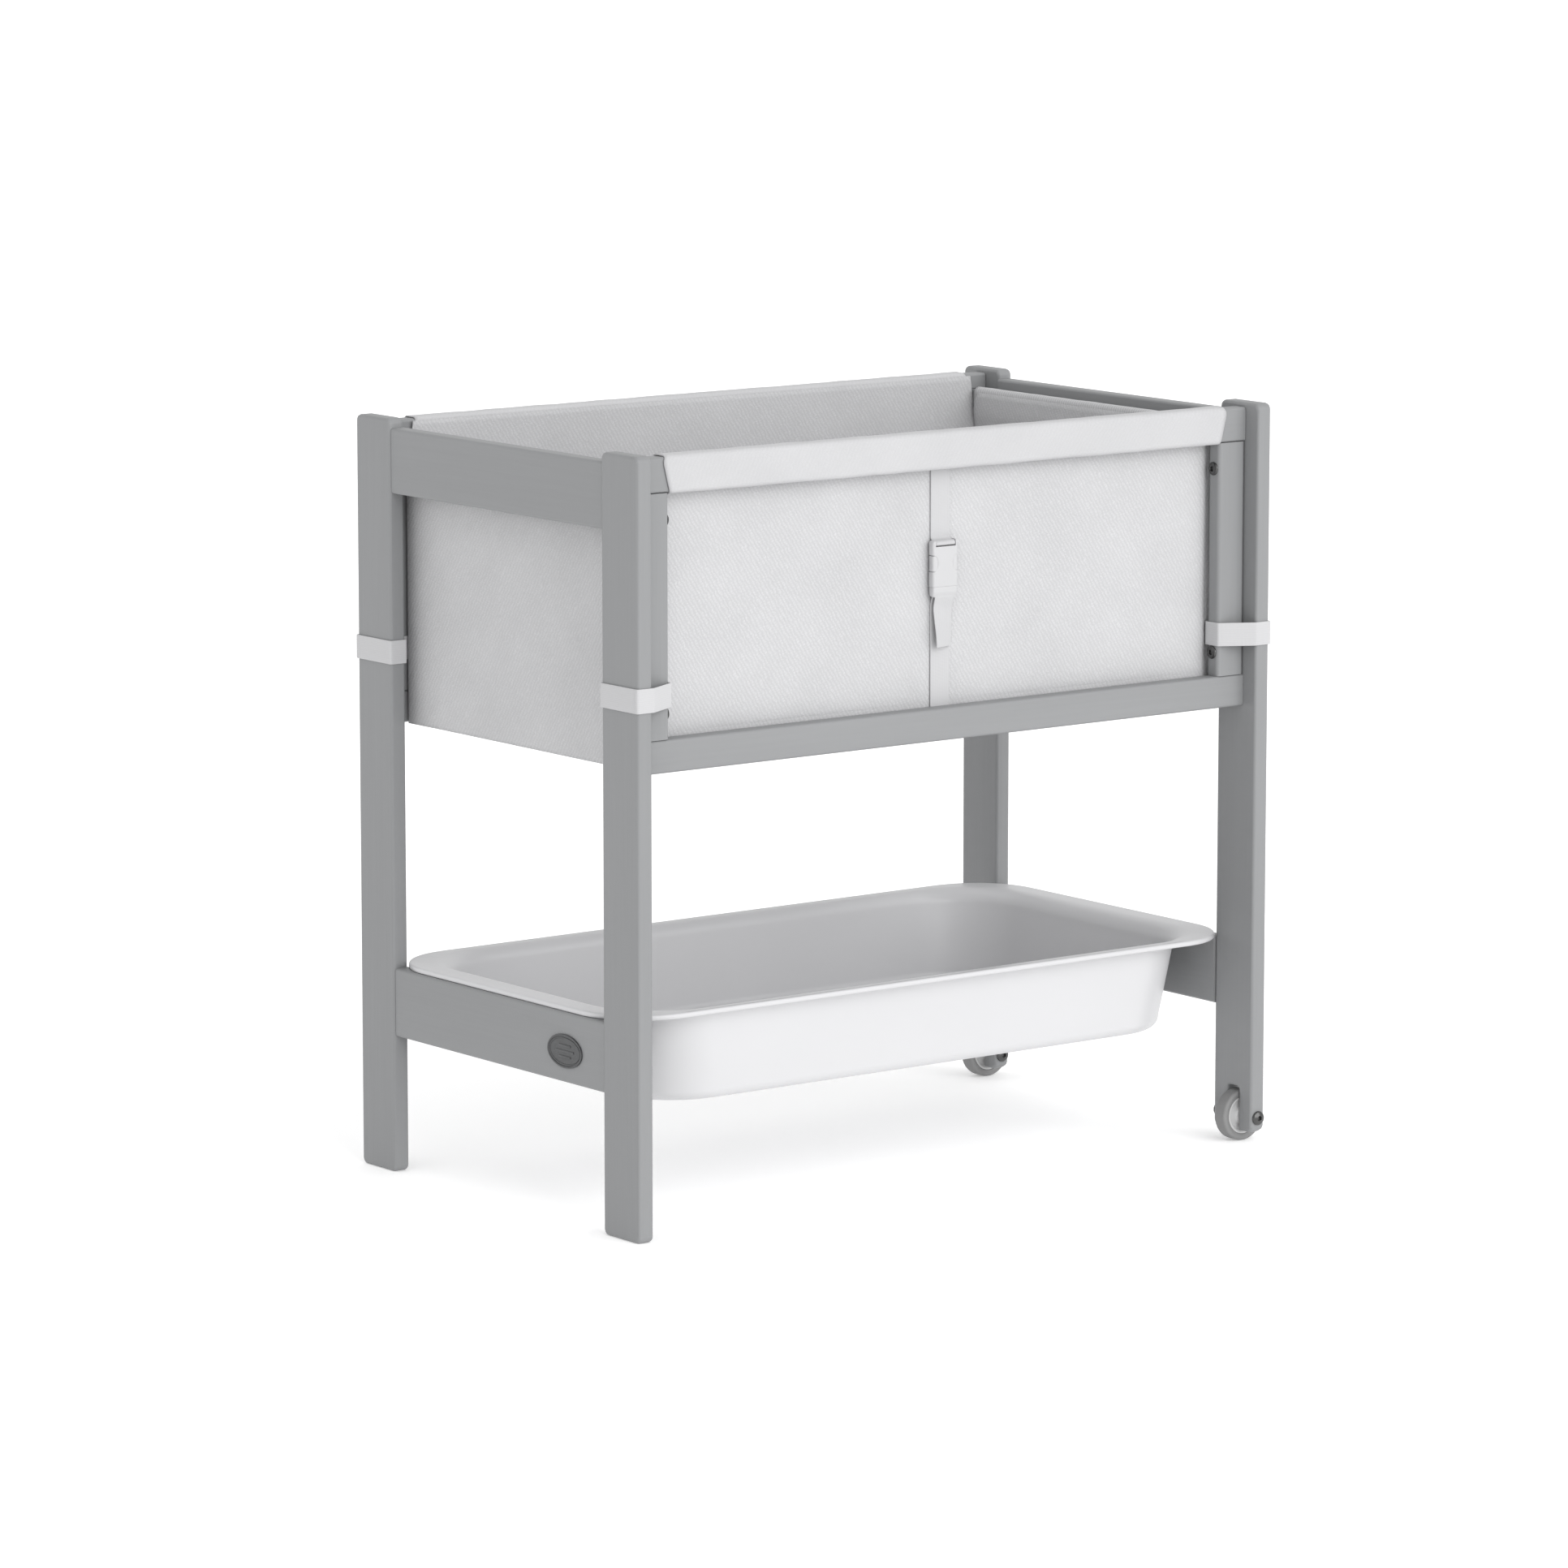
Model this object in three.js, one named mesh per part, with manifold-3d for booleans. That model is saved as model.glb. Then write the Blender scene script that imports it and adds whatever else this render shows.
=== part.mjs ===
// A bassinet on a wooden stand: two ladder-shaped end frames, bolted side frames, a hanging
// fabric basket with a drop side and a buckled strap, a lift-out storage tray and two wheels.
// Millimetres. +Z is up, +X runs to the wheel end ("right"), -Y is the drop side ("front").

import * as THREE from 'three';
import { mergeVertices } from 'three/addons/utils/BufferGeometryUtils.js';
import Module from 'manifold-3d';

const wasm = await Module();
wasm.setup();

// ---------------------------------------------------------------- driving dimensions

const GAP = 0.3;                 // air left between neighbouring pieces
const OVER = 1;                  // how far a cutting tool runs past the faces that it cuts
const FRAME_LENGTH = 831;        // over the legs' outer faces
const FRAME_DEPTH = 500;
const HEIGHT = 800;

const LEG = { width: 62, thick: 18, corner: 7, edge: 3 };
const FORK = { foot: 12, slotWidth: 19.2, slotTop: 60, slotCorner: 4, toeRound: 12 };

const WHEEL = { radius: 28, width: 17, hubRadius: 20.5, shoulder: 4, bevel: 1.2 };
const HUB = { setBack: 0.5, recess: 2, rimWidth: 2.5, bossRadius: 9, slope: 1 };
const AXLE = { sleeveRadius: 4, boltRadius: 2.6, boltLength: 50, nutLength: 57, nutSolid: 8 };
const AXLE_HEAD = { radius: 7.6, height: 4, socket: 6 };
const HEAD_SHOULDER = 0.3;       // the upright share of a bolt head's height, below its dome
const SOCKET_CENTRE = 0.85;      // the middle of the hexagon socket, as a share of that height

const TOP_END_RAIL = { bottom: 721.5, top: 790 };
const LOW_END_RAIL = { bottom: 146, top: 219 };
const END_RAIL = { thick: 18, setBack: 2, edge: 3 };

const SIDE = { inner: 211, outer: 230, edge: 3 };      // |Y| of posts and side rails
const LOW_SIDE_RAIL = { bottom: 475, top: 509 };
const TOP_SIDE_RAIL = { bottom: 759, top: 795 };
const POST = { width: 36, edge: 4.5, boltHeights: { lower: 534.6, upper: 731 } };
const POST_BOLT = { radius: 3, holeDepth: 12, reach: 10.5 };
const POST_BOLT_HEAD = { radius: 7, height: 3, socket: 6 };

const SLAT = { width: 50, thick: 12, edge: 2, places: [-230, 0, 230] };
const BAR = { x: 379, thick: 7, height: 19.5, reach: 218.5, edge: 2, lift: 0.1 };
const SLOT_CLEARANCE = 0.6;

const CLOTH = 2;                 // thickness of the basket's fabric
const LINER = { x: 380, y: 208.5, bottom: 487.6, hem: 475, top: 756.5, frontLip: 511 };
const PANEL = { halfWidth: 358, bottom: 513, seam: 0.6 };
const BAR_HEM = { slack: 0.4, cloth: 1.3, corner: 3, setBack: 1.5 };
const SLEEVE = { thick: 1.5, halfTop: 371, halfBottom: 361 };
const BOARD = { halfLength: 370, halfWidth: 199, bottom: 490, thick: 6, corner: 15 };
const MATTRESS = { halfLength: 371, halfWidth: 200, thick: 40, corner: 30, edge: 10 };

const WEB = { width: 25, thick: 1.4 };
const CORNER_STRAP_BOTTOM = 542;
const STRAP_Y = -210.6;          // outer face of the front strap
const LOWER_STRAP_TOP = 628;
const BUCKLE = { width: 33, thick: 9, top: 683, parting: 634, bottom: 623, outer: -219.9 };
const STRAP_SLOT = { halfWidth: 13, height: 3, fromTop: 5.5, fromBottom: 3 };
const SOCKET = { corner: 4, edge: 1.2, halfCavity: 13.5, cavityThick: 5.4, cavityTop: 668 };
const BITE = { radius: 9, outside: 4, z: 657 };
const PLUG = { setBack: 1, corner: 3, edge: 1, root: 2 };
const TONGUE = { halfWidth: 5, thick: 4.6, top: 661 };
const ARM = { inner: 8.6, outer: 12, pad: 13.2, top: 661, bendStart: 12, bendEnd: 18, tip: 4 };
const TAIL = { top: 621, bottom: 571, front: -216.4 };

const TRAY = {
  rim: { x: 411, y: 219, corner: 76 },
  mouth: { x: 372, y: 201, corner: 88 },
  base: { x: 358, y: 194, corner: 84 },
  bottom: 124,
  wall: 3,
  lip: 5.5,
  lipDrop: 1.8,
  flare: 14,
  flareInside: 0.45,             // how far the flare runs from the mouth towards the rim
  flareUnder: 0.35,
  rimRound: 0.06,
  fillet: 12,
  cornerSteps: 8,
};
const BADGE = { y: -120, z: 179, halfWidth: 30, halfHeight: 17.5, thick: 1.7, rimWidth: 2.2 };
const BADGE_EDGE = { chamfer: 0.4, slope: 0.5, recess: 0.6 };

// ---------------------------------------------------------------- derived places

const LEG_OUTER = FRAME_LENGTH / 2;
const LEG_INNER = LEG_OUTER - LEG.thick;
const LEG_Y = FRAME_DEPTH / 2 - LEG.width / 2;
const RAIL_REACH = FRAME_DEPTH / 2 - LEG.width;
const AXLE_X = LEG_OUTER - LEG.thick / 2;
const WHEEL_OVERHANG = WHEEL.radius - LEG.thick / 2;
const STRAP_STANDOFF = GAP + WEB.thick;
const SIDE_MIDDLE = (SIDE.inner + SIDE.outer) / 2;
const SIDE_THICK = SIDE.outer - SIDE.inner;
const POST_INNER = LEG_INNER - POST.width;
const TRAY_REST = LOW_END_RAIL.top + GAP;
const HEM_REACH = LINER.y - BAR_HEM.setBack;
const BUCKLE_MIDDLE = BUCKLE.outer + BUCKLE.thick / 2;

const ENDS = [['left', -1], ['right', 1]];
const SIDES = [['front', -1], ['back', 1]];

// ---------------------------------------------------------------- materials

function finish(color, roughness, metalness = 0) {
  return () => new THREE.MeshStandardMaterial({ color, roughness, metalness });
}

const paintedWood = finish(0x9a9b9d, 0.55);
const plyBoard = finish(0xb9a98c, 0.7);
const knitFabric = finish(0xd4d6d8, 0.95);
const mattressFabric = finish(0xf0f0ee, 0.95);
const webbing = finish(0xdcddde, 0.85);
const bucklePlastic = finish(0xe9eaeb, 0.35);
const trayPlastic = finish(0xe4e6e8, 0.3);
const tyreRubber = finish(0x8f9193, 0.7);
const hubPlastic = finish(0xe2e3e4, 0.4);
const darkSteel = finish(0x47494c, 0.35, 0.9);
const badgeMetal = finish(0x5d5f62, 0.4, 0.8);

// ---------------------------------------------------------------- shape helpers

function roundedRect(x0, y0, x1, y1, radius) {
  const shape = new THREE.Shape();
  shape.moveTo(x0 + radius, y0);
  shape.lineTo(x1 - radius, y0);
  shape.absarc(x1 - radius, y0 + radius, radius, -Math.PI / 2, 0);
  shape.lineTo(x1, y1 - radius);
  shape.absarc(x1 - radius, y1 - radius, radius, 0, Math.PI / 2);
  shape.lineTo(x0 + radius, y1);
  shape.absarc(x0 + radius, y1 - radius, radius, Math.PI / 2, Math.PI);
  shape.lineTo(x0, y0 + radius);
  shape.absarc(x0 + radius, y0 + radius, radius, Math.PI, Math.PI * 1.5);
  return shape;
}

// An outline pushed from 0 to length along local Z, its edges rounded by "edge".
function extrude(shape, length, edge = 0, arcSteps = 3) {
  const geometry = new THREE.ExtrudeGeometry(shape, {
    depth: length - 2 * edge,
    bevelEnabled: edge > 0,
    bevelThickness: edge,
    bevelSize: edge,
    bevelOffset: -edge,
    bevelSegments: 2,
    curveSegments: arcSteps,
  });
  return geometry.translate(0, 0, edge);
}

// An outline drawn in (Y, Z), pushed along X from x0 to x1.
function alongX(shape, x0, x1, edge, arcSteps) {
  const turn = new THREE.Matrix4().set(0, 0, 1, x0, 1, 0, 0, 0, 0, 1, 0, 0, 0, 0, 0, 1);
  return extrude(shape, x1 - x0, edge, arcSteps).applyMatrix4(turn);
}

// An outline drawn in (X, Z), pushed along Y from y0 to y1.
function alongY(shape, y0, y1, edge, arcSteps) {
  const turn = new THREE.Matrix4().set(1, 0, 0, 0, 0, 0, -1, y1, 0, 1, 0, 0, 0, 0, 0, 1);
  return extrude(shape, y1 - y0, edge, arcSteps).applyMatrix4(turn);
}

// An outline drawn in (X, Y), pushed along Z from z0 to z1.
function alongZ(shape, z0, z1, edge, arcSteps) {
  return extrude(shape, z1 - z0, edge, arcSteps).translate(0, 0, z0);
}

function box(x0, x1, y0, y1, z0, z1) {
  const geometry = new THREE.BoxGeometry(x1 - x0, y1 - y0, z1 - z0);
  return geometry.translate((x0 + x1) / 2, (y0 + y1) / 2, (z0 + z1) / 2);
}

// A round bar along X or Y, from "from" to "to", centred on the other two coordinates.
function barX(y, z, radius, from, to, sides = 12) {
  const geometry = new THREE.CylinderGeometry(radius, radius, to - from, sides);
  return geometry.rotateZ(Math.PI / 2).translate((from + to) / 2, y, z);
}

function barY(x, z, radius, from, to, sides = 16) {
  const geometry = new THREE.CylinderGeometry(radius, radius, to - from, sides);
  return geometry.translate(x, (from + to) / 2, z);
}

function revolve(points, sides) {
  return new THREE.LatheGeometry(points.map(([r, h]) => new THREE.Vector2(r, h)), sides);
}

// ---------------------------------------------------------------- joins and cuts

function toSolid(geometry) {
  const bare = geometry.clone();
  bare.deleteAttribute('normal');
  bare.deleteAttribute('uv');
  const merged = mergeVertices(bare, 1e-4);
  const corners = merged.index.array;
  const triangles = [];
  for (let i = 0; i < corners.length; i += 3) {
    const [a, b, c] = corners.slice(i, i + 3);
    if (a !== b && b !== c && c !== a) triangles.push(a, b, c);
  }
  return new wasm.Manifold(new wasm.Mesh({
    numProp: 3,
    vertProperties: new Float32Array(merged.attributes.position.array),
    triVerts: new Uint32Array(triangles),
  }));
}

function toGeometry(solid) {
  const mesh = solid.getMesh();
  const geometry = new THREE.BufferGeometry();
  geometry.setAttribute('position', new THREE.BufferAttribute(mesh.vertProperties, 3));
  geometry.setIndex(new THREE.BufferAttribute(mesh.triVerts, 1));
  const faceted = geometry.toNonIndexed();
  faceted.computeVertexNormals();
  return faceted;
}

function cut(base, ...tools) {
  return toGeometry(tools.reduce((solid, tool) => solid.subtract(toSolid(tool)), toSolid(base)));
}

function join(base, ...others) {
  return toGeometry(others.reduce((solid, other) => solid.add(toSolid(other)), toSolid(base)));
}

function common(base, other) {
  return toGeometry(toSolid(base).intersect(toSolid(other)));
}

// ---------------------------------------------------------------- scene

const frame = new THREE.Group();
frame.position.x = -(WHEEL_OVERHANG - STRAP_STANDOFF) / 2;   // origin under the whole object's middle
const bassinet = new THREE.Group();
bassinet.add(frame);

function place(name, geometry, material, x = 0, y = 0, z = 0) {
  const mesh = new THREE.Mesh(geometry, material());
  mesh.name = name;
  mesh.position.set(x, y, z);
  frame.add(mesh);
}

// ---------------------------------------------------------------- legs and end rails

// Blind holes in a leg's inner face for the two bolts of the post beside it.
function boltHoles(end, side) {
  const mouth = -end * (LEG.thick / 2 + OVER);
  const bottom = end * (POST_BOLT.holeDepth - LEG.thick / 2);
  const y = side * (SIDE_MIDDLE - LEG_Y);
  const [from, to] = [Math.min(mouth, bottom), Math.max(mouth, bottom)];
  const heights = Object.values(POST.boltHeights);
  return heights.map((z) => barX(y, z, POST_BOLT.radius + GAP, from, to));
}

function plainLeg() {
  const half = LEG.width / 2;
  const outline = roundedRect(-half, 0, half, HEIGHT, LEG.corner);
  return alongX(outline, -LEG.thick / 2, LEG.thick / 2, LEG.edge);
}

// A leg whose foot is a fork around a wheel, with the outer toe rounded off.
function forkLeg() {
  const half = LEG.width / 2;
  const slot = FORK.slotWidth / 2;
  const shoulder = FORK.slotTop - FORK.slotCorner;
  const outline = new THREE.Shape();
  outline.moveTo(-half + LEG.corner, FORK.foot);
  outline.lineTo(-slot, FORK.foot);
  outline.lineTo(-slot, shoulder);
  outline.absarc(-slot + FORK.slotCorner, shoulder, FORK.slotCorner, Math.PI, Math.PI / 2, true);
  outline.lineTo(slot - FORK.slotCorner, FORK.slotTop);
  outline.absarc(slot - FORK.slotCorner, shoulder, FORK.slotCorner, Math.PI / 2, 0, true);
  outline.lineTo(slot, FORK.foot);
  outline.lineTo(half - LEG.corner, FORK.foot);
  outline.absarc(half - LEG.corner, FORK.foot + LEG.corner, LEG.corner, -Math.PI / 2, 0);
  outline.lineTo(half, HEIGHT - LEG.corner);
  outline.absarc(half - LEG.corner, HEIGHT - LEG.corner, LEG.corner, 0, Math.PI / 2);
  outline.lineTo(-half + LEG.corner, HEIGHT);
  outline.absarc(-half + LEG.corner, HEIGHT - LEG.corner, LEG.corner, Math.PI / 2, Math.PI);
  outline.lineTo(-half, FORK.foot + LEG.corner);
  outline.absarc(-half + LEG.corner, FORK.foot + LEG.corner, LEG.corner, Math.PI, Math.PI * 1.5);

  const face = LEG.thick / 2;
  const toe = new THREE.Shape();
  toe.moveTo(-face - OVER, FORK.foot - OVER);
  toe.lineTo(face - FORK.toeRound, FORK.foot - OVER);
  toe.lineTo(face - FORK.toeRound, FORK.foot);
  toe.absarc(face - FORK.toeRound, FORK.foot + FORK.toeRound, FORK.toeRound, -Math.PI / 2, 0);
  toe.lineTo(face, HEIGHT + OVER);
  toe.lineTo(-face - OVER, HEIGHT + OVER);
  const side = alongY(toe, -half - OVER, half + OVER, 0, 5);
  const blank = common(alongX(outline, -face, face, LEG.edge), side);
  const bore = barY(0, WHEEL.radius, AXLE.sleeveRadius + GAP, -half - OVER, half + OVER);
  return cut(blank, bore);
}

function addLegs() {
  for (const [endName, end] of ENDS) {
    for (const [sideName, side] of SIDES) {
      const blank = end < 0 ? plainLeg() : forkLeg();
      const leg = cut(blank, ...boltHoles(end, side));
      place(`leg_${sideName}_${endName}`, leg, paintedWood, end * AXLE_X, side * LEG_Y);
    }
  }
}

function addEndRails() {
  const half = END_RAIL.thick / 2;
  const x = LEG_OUTER - END_RAIL.setBack - half;
  const reach = RAIL_REACH - GAP;
  for (const [endName, end] of ENDS) {
    for (const [level, rail] of [['top', TOP_END_RAIL], ['low', LOW_END_RAIL]]) {
      const section = roundedRect(-half, rail.bottom, half, rail.top, END_RAIL.edge);
      place(`${level}_end_rail_${endName}`, alongY(section, -reach, reach), paintedWood, end * x);
    }
  }
}

function addBadge() {
  const { halfWidth, halfHeight, thick, rimWidth } = BADGE;
  const { chamfer, slope, recess } = BADGE_EDGE;
  const innerRim = halfWidth - rimWidth;
  const field = thick - recess;
  const profile = [[0, 0], [halfWidth, 0], [halfWidth, thick - chamfer],
    [halfWidth - chamfer, thick], [innerRim, thick], [innerRim - slope, field], [0, field]];
  const oval = revolve(profile, 36).rotateZ(Math.PI / 2).scale(1, 1, halfHeight / halfWidth);
  const x = -(LEG_OUTER - END_RAIL.setBack + GAP);
  place('badge', oval, badgeMetal, x, BADGE.y, BADGE.z);
}

// ---------------------------------------------------------------- side frames

function addPosts() {
  const half = POST.width / 2;
  const bottom = LOW_SIDE_RAIL.top + GAP;
  const top = TOP_SIDE_RAIL.bottom - GAP;
  const width = POST.width - GAP;
  for (const [endName, end] of ENDS) {
    for (const [sideName, side] of SIDES) {
      const section = roundedRect(-width / 2, -SIDE_THICK / 2, width / 2, SIDE_THICK / 2, POST.edge);
      const holes = Object.values(POST.boltHeights).map(
        (z) => barX(0, z, POST_BOLT.radius + GAP, -half - OVER, half + OVER),
      );
      const post = cut(alongZ(section, bottom, top), ...holes);
      const x = end * (POST_INNER + width / 2);
      place(`post_${sideName}_${endName}`, post, paintedWood, x, side * SIDE_MIDDLE);
    }
  }
}

// The outline of a domed head, from the rim of its flat underside to the top of the dome.
function domedHead({ radius, height }) {
  const upright = height * HEAD_SHOULDER;
  const dome = [0, 0.25, 0.5, 0.75].map((t) => {
    const angle = t * Math.PI / 2;
    return [radius * Math.cos(angle), upright + (height - upright) * Math.sin(angle)];
  });
  return [[radius, 0], ...dome, [0, height]];
}

// A dome-headed bolt with a hexagon socket; its shank runs along +X from the head.
function hexBolt(shankRadius, length, head) {
  const shank = [[0, -length], [shankRadius, -length], [shankRadius, 0]];
  const socket = new THREE.CylinderGeometry(head.socket / 2, head.socket / 2, head.height, 6);
  socket.translate(0, head.height * SOCKET_CENTRE, 0);
  return cut(revolve([...shank, ...domedHead(head)], 20), socket).rotateZ(Math.PI / 2);
}

function addPostBolts() {
  const x = POST_INNER - GAP;
  for (const [endName, end] of ENDS) {
    for (const [sideName, side] of SIDES) {
      for (const [level, z] of Object.entries(POST.boltHeights)) {
        const length = POST.width + POST_BOLT.reach;
        const bolt = hexBolt(POST_BOLT.radius, length, POST_BOLT_HEAD);
        if (end < 0) bolt.rotateZ(Math.PI);
        const name = `post_bolt_${sideName}_${endName}_${level}`;
        place(name, bolt, darkSteel, end * x, side * SIDE_MIDDLE, z);
      }
    }
  }
}

function sideRail(span, rail) {
  const section = roundedRect(-SIDE_THICK / 2, rail.bottom, SIDE_THICK / 2, rail.top, SIDE.edge);
  return alongX(section, -span, span);
}

// Slots in a top rail's inner face, open below, that drop over the ends of the two end bars.
function barSlots(side) {
  const half = BAR.thick / 2 + SLOT_CLEARANCE;
  const top = TOP_SIDE_RAIL.bottom + BAR.height + SLOT_CLEARANCE;
  const depth = BAR.reach + SLOT_CLEARANCE - SIDE_MIDDLE;
  const [y0, y1] = side > 0 ? [-SIDE_THICK, depth] : [-depth, SIDE_THICK];
  const bottom = TOP_SIDE_RAIL.bottom - OVER;
  return ENDS.map(([, end]) => box(end * BAR.x - half, end * BAR.x + half, y0, y1, bottom, top));
}

function addSideRails() {
  for (const [sideName, side] of SIDES) {
    const low = sideRail(LEG_INNER - GAP, LOW_SIDE_RAIL);
    place(`${sideName}_low_rail`, low, paintedWood, 0, side * SIDE_MIDDLE);
    const top = cut(sideRail(LEG_INNER - 2 * GAP, TOP_SIDE_RAIL), ...barSlots(side));
    place(`${sideName}_top_rail`, top, paintedWood, 0, side * SIDE_MIDDLE);
  }
}

function addEndBars() {
  const half = BAR.thick / 2;
  const bottom = TOP_SIDE_RAIL.bottom + BAR.lift;
  for (const [endName, end] of ENDS) {
    const section = roundedRect(-half, bottom, half, bottom + BAR.height, BAR.edge);
    place(`end_bar_${endName}`, alongY(section, -BAR.reach, BAR.reach), paintedWood, end * BAR.x);
  }
}

function addBaseSlats() {
  const reach = SIDE.inner - GAP;
  const half = SLAT.width / 2;
  const bottom = LOW_SIDE_RAIL.bottom + GAP;
  SLAT.places.forEach((x, index) => {
    const section = roundedRect(-half, bottom, half, bottom + SLAT.thick, SLAT.edge);
    place(`base_slat_${index + 1}`, alongY(section, -reach, reach), paintedWood, x);
  });
}

// ---------------------------------------------------------------- basket

// The hem that holds an end bar: a flattened tube running across the basket.
function barHem(end) {
  const { slack, cloth, corner } = BAR_HEM;
  const inside = BAR.thick / 2 + slack;
  const outside = inside + cloth;
  const low = TOP_SIDE_RAIL.bottom - slack;
  const high = TOP_SIDE_RAIL.bottom + BAR.height + BAR.lift + slack;
  const x = end * BAR.x;
  const rim = roundedRect(x - outside, low - cloth, x + outside, high + cloth, corner);
  const bore = roundedRect(x - inside, low, x + inside, high, BAR.edge);
  return cut(alongY(rim, -HEM_REACH, HEM_REACH), alongY(bore, -HEM_REACH - OVER, HEM_REACH + OVER));
}

// An open tub of cloth. Its front is only a low lip and two corner returns, because the drop
// side's panel closes it.
function liner() {
  const { x, y, bottom, hem, top, frontLip } = LINER;
  const back = box(-x, x, y - CLOTH, y, bottom, top);
  const floor = box(-x, x, -y, y, bottom, bottom + CLOTH);
  const lip = box(-x, x, -y, CLOTH - y, bottom, frontLip);
  const pieces = [floor, lip];
  const seam = PANEL.halfWidth + PANEL.seam;
  const hemFoot = TOP_SIDE_RAIL.bottom - BAR_HEM.slack - BAR_HEM.cloth / 3;
  for (const [, end] of ENDS) {
    const [low, high] = end < 0 ? [-x, CLOTH - x] : [x - CLOTH, x];
    pieces.push(box(low, high, -y, y, hem, top));
    const [from, to] = end < 0 ? [-x, -seam] : [seam, x];
    pieces.push(box(from, to, -y, CLOTH - y, bottom, top));
    pieces.push(box(low, high, -HEM_REACH, HEM_REACH, top - OVER, hemFoot));
    pieces.push(barHem(end));
  }
  return join(back, ...pieces);
}

// A cloth tube around a top rail, longer along its top than along its bottom.
function sleeve() {
  const grow = GAP + SLEEVE.thick;
  const half = SIDE_THICK / 2;
  const { bottom, top } = TOP_SIDE_RAIL;
  const ring = roundedRect(-half - grow, bottom - grow, half + grow, top + grow, SIDE.edge + grow);
  const inside = SIDE.edge + GAP;
  ring.holes.push(roundedRect(-half - GAP, bottom - GAP, half + GAP, top + GAP, inside));
  const tube = alongX(ring, -1, 1);
  const corners = tube.attributes.position;
  for (let i = 0; i < corners.count; i += 1) {
    const rise = (corners.getZ(i) - bottom + grow) / (top - bottom + 2 * grow);
    const reach = SLEEVE.halfBottom + rise * (SLEEVE.halfTop - SLEEVE.halfBottom);
    corners.setX(i, Math.sign(corners.getX(i)) * reach);
  }
  tube.computeVertexNormals();
  return tube;
}

function baseBoard() {
  const { halfLength, halfWidth, bottom, thick, corner } = BOARD;
  const plate = roundedRect(-halfLength, -halfWidth, halfLength, halfWidth, corner);
  return alongZ(plate, bottom, bottom + thick);
}

function mattress() {
  const { halfLength, halfWidth, thick, corner, edge } = MATTRESS;
  const pad = roundedRect(-halfLength, -halfWidth, halfLength, halfWidth, corner);
  const bottom = BOARD.bottom + BOARD.thick + 2 * GAP;
  return alongZ(pad, bottom, bottom + thick, edge);
}

function addBasket() {
  place('liner', liner(), knitFabric);
  const { halfWidth, bottom } = PANEL;
  const panel = box(-halfWidth, halfWidth, -LINER.y, CLOTH - LINER.y, bottom, LINER.top);
  place('front_panel', panel, knitFabric);
  for (const [sideName, side] of SIDES) {
    place(`${sideName}_sleeve`, sleeve(), knitFabric, 0, side * SIDE_MIDDLE);
  }
  place('base_board', baseBoard(), plyBoard);
  place('mattress', mattress(), mattressFabric);
}

// ---------------------------------------------------------------- straps and buckle

// A loop of webbing round a leg and its post: straight across outside, tucked in behind.
function cornerLoop(end, side, distance) {
  const post = POST_INNER - distance;
  const legOut = LEG_OUTER + distance;
  const legIn = LEG_INNER - distance;
  const front = FRAME_DEPTH / 2 + distance;
  const backOfLeg = RAIL_REACH - distance;
  const outline = [[legOut, front], [legIn, front], [post, SIDE.outer + distance],
    [post, SIDE.inner - distance], [legIn, SIDE.inner - distance], [legIn, backOfLeg],
    [legOut, backOfLeg]];
  if (end * side < 0) outline.reverse();
  return outline.map(([x, y]) => new THREE.Vector2(end * x, side * y));
}

function addCornerStraps() {
  for (const [endName, end] of ENDS) {
    for (const [sideName, side] of SIDES) {
      const band = new THREE.Shape(cornerLoop(end, side, STRAP_STANDOFF));
      band.holes.push(new THREE.Path(cornerLoop(end, side, GAP)));
      const top = CORNER_STRAP_BOTTOM + WEB.width;
      const loop = alongZ(band, CORNER_STRAP_BOTTOM, top);
      place(`corner_strap_${sideName}_${endName}`, loop, webbing);
    }
  }
}

function addFrontStrap() {
  const half = WEB.width / 2;
  const back = STRAP_Y + WEB.thick;
  const upper = box(-half, half, STRAP_Y, back, SOCKET.cavityTop, LINER.top);
  place('strap_upper', upper, webbing);
  const lower = box(-half, half, STRAP_Y, back, PANEL.bottom, LOWER_STRAP_TOP);
  place('strap_lower', lower, webbing);
  const tail = box(-half, half, TAIL.front, TAIL.front + WEB.thick, TAIL.bottom, TAIL.top);
  place('strap_tail', tail, webbing);
}

// The slot that a strap runs through, right through the buckle's thickness.
function strapSlot(bottom) {
  const { halfWidth, height } = STRAP_SLOT;
  const near = BUCKLE.outer - OVER;
  const far = BUCKLE.outer + BUCKLE.thick + OVER;
  return box(-halfWidth, halfWidth, near, far, bottom, bottom + height);
}

function buckleSocket() {
  const half = BUCKLE.width / 2;
  const { parting, top, outer, thick } = BUCKLE;
  const { corner, edge, halfCavity, cavityThick, cavityTop } = SOCKET;
  const body = alongY(roundedRect(-half, parting, half, top, corner), outer, outer + thick, edge);
  const near = BUCKLE_MIDDLE - cavityThick / 2;
  const far = BUCKLE_MIDDLE + cavityThick / 2;
  const cavity = box(-halfCavity, halfCavity, near, far, parting - OVER, cavityTop);
  const bites = ENDS.map(([, end]) => {
    const x = end * (half + BITE.outside);
    return barY(x, BITE.z, BITE.radius, outer - OVER, outer + thick + OVER, 24);
  });
  const slot = strapSlot(top - STRAP_SLOT.fromTop - STRAP_SLOT.height);
  return cut(body, cavity, slot, ...bites);
}

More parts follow.
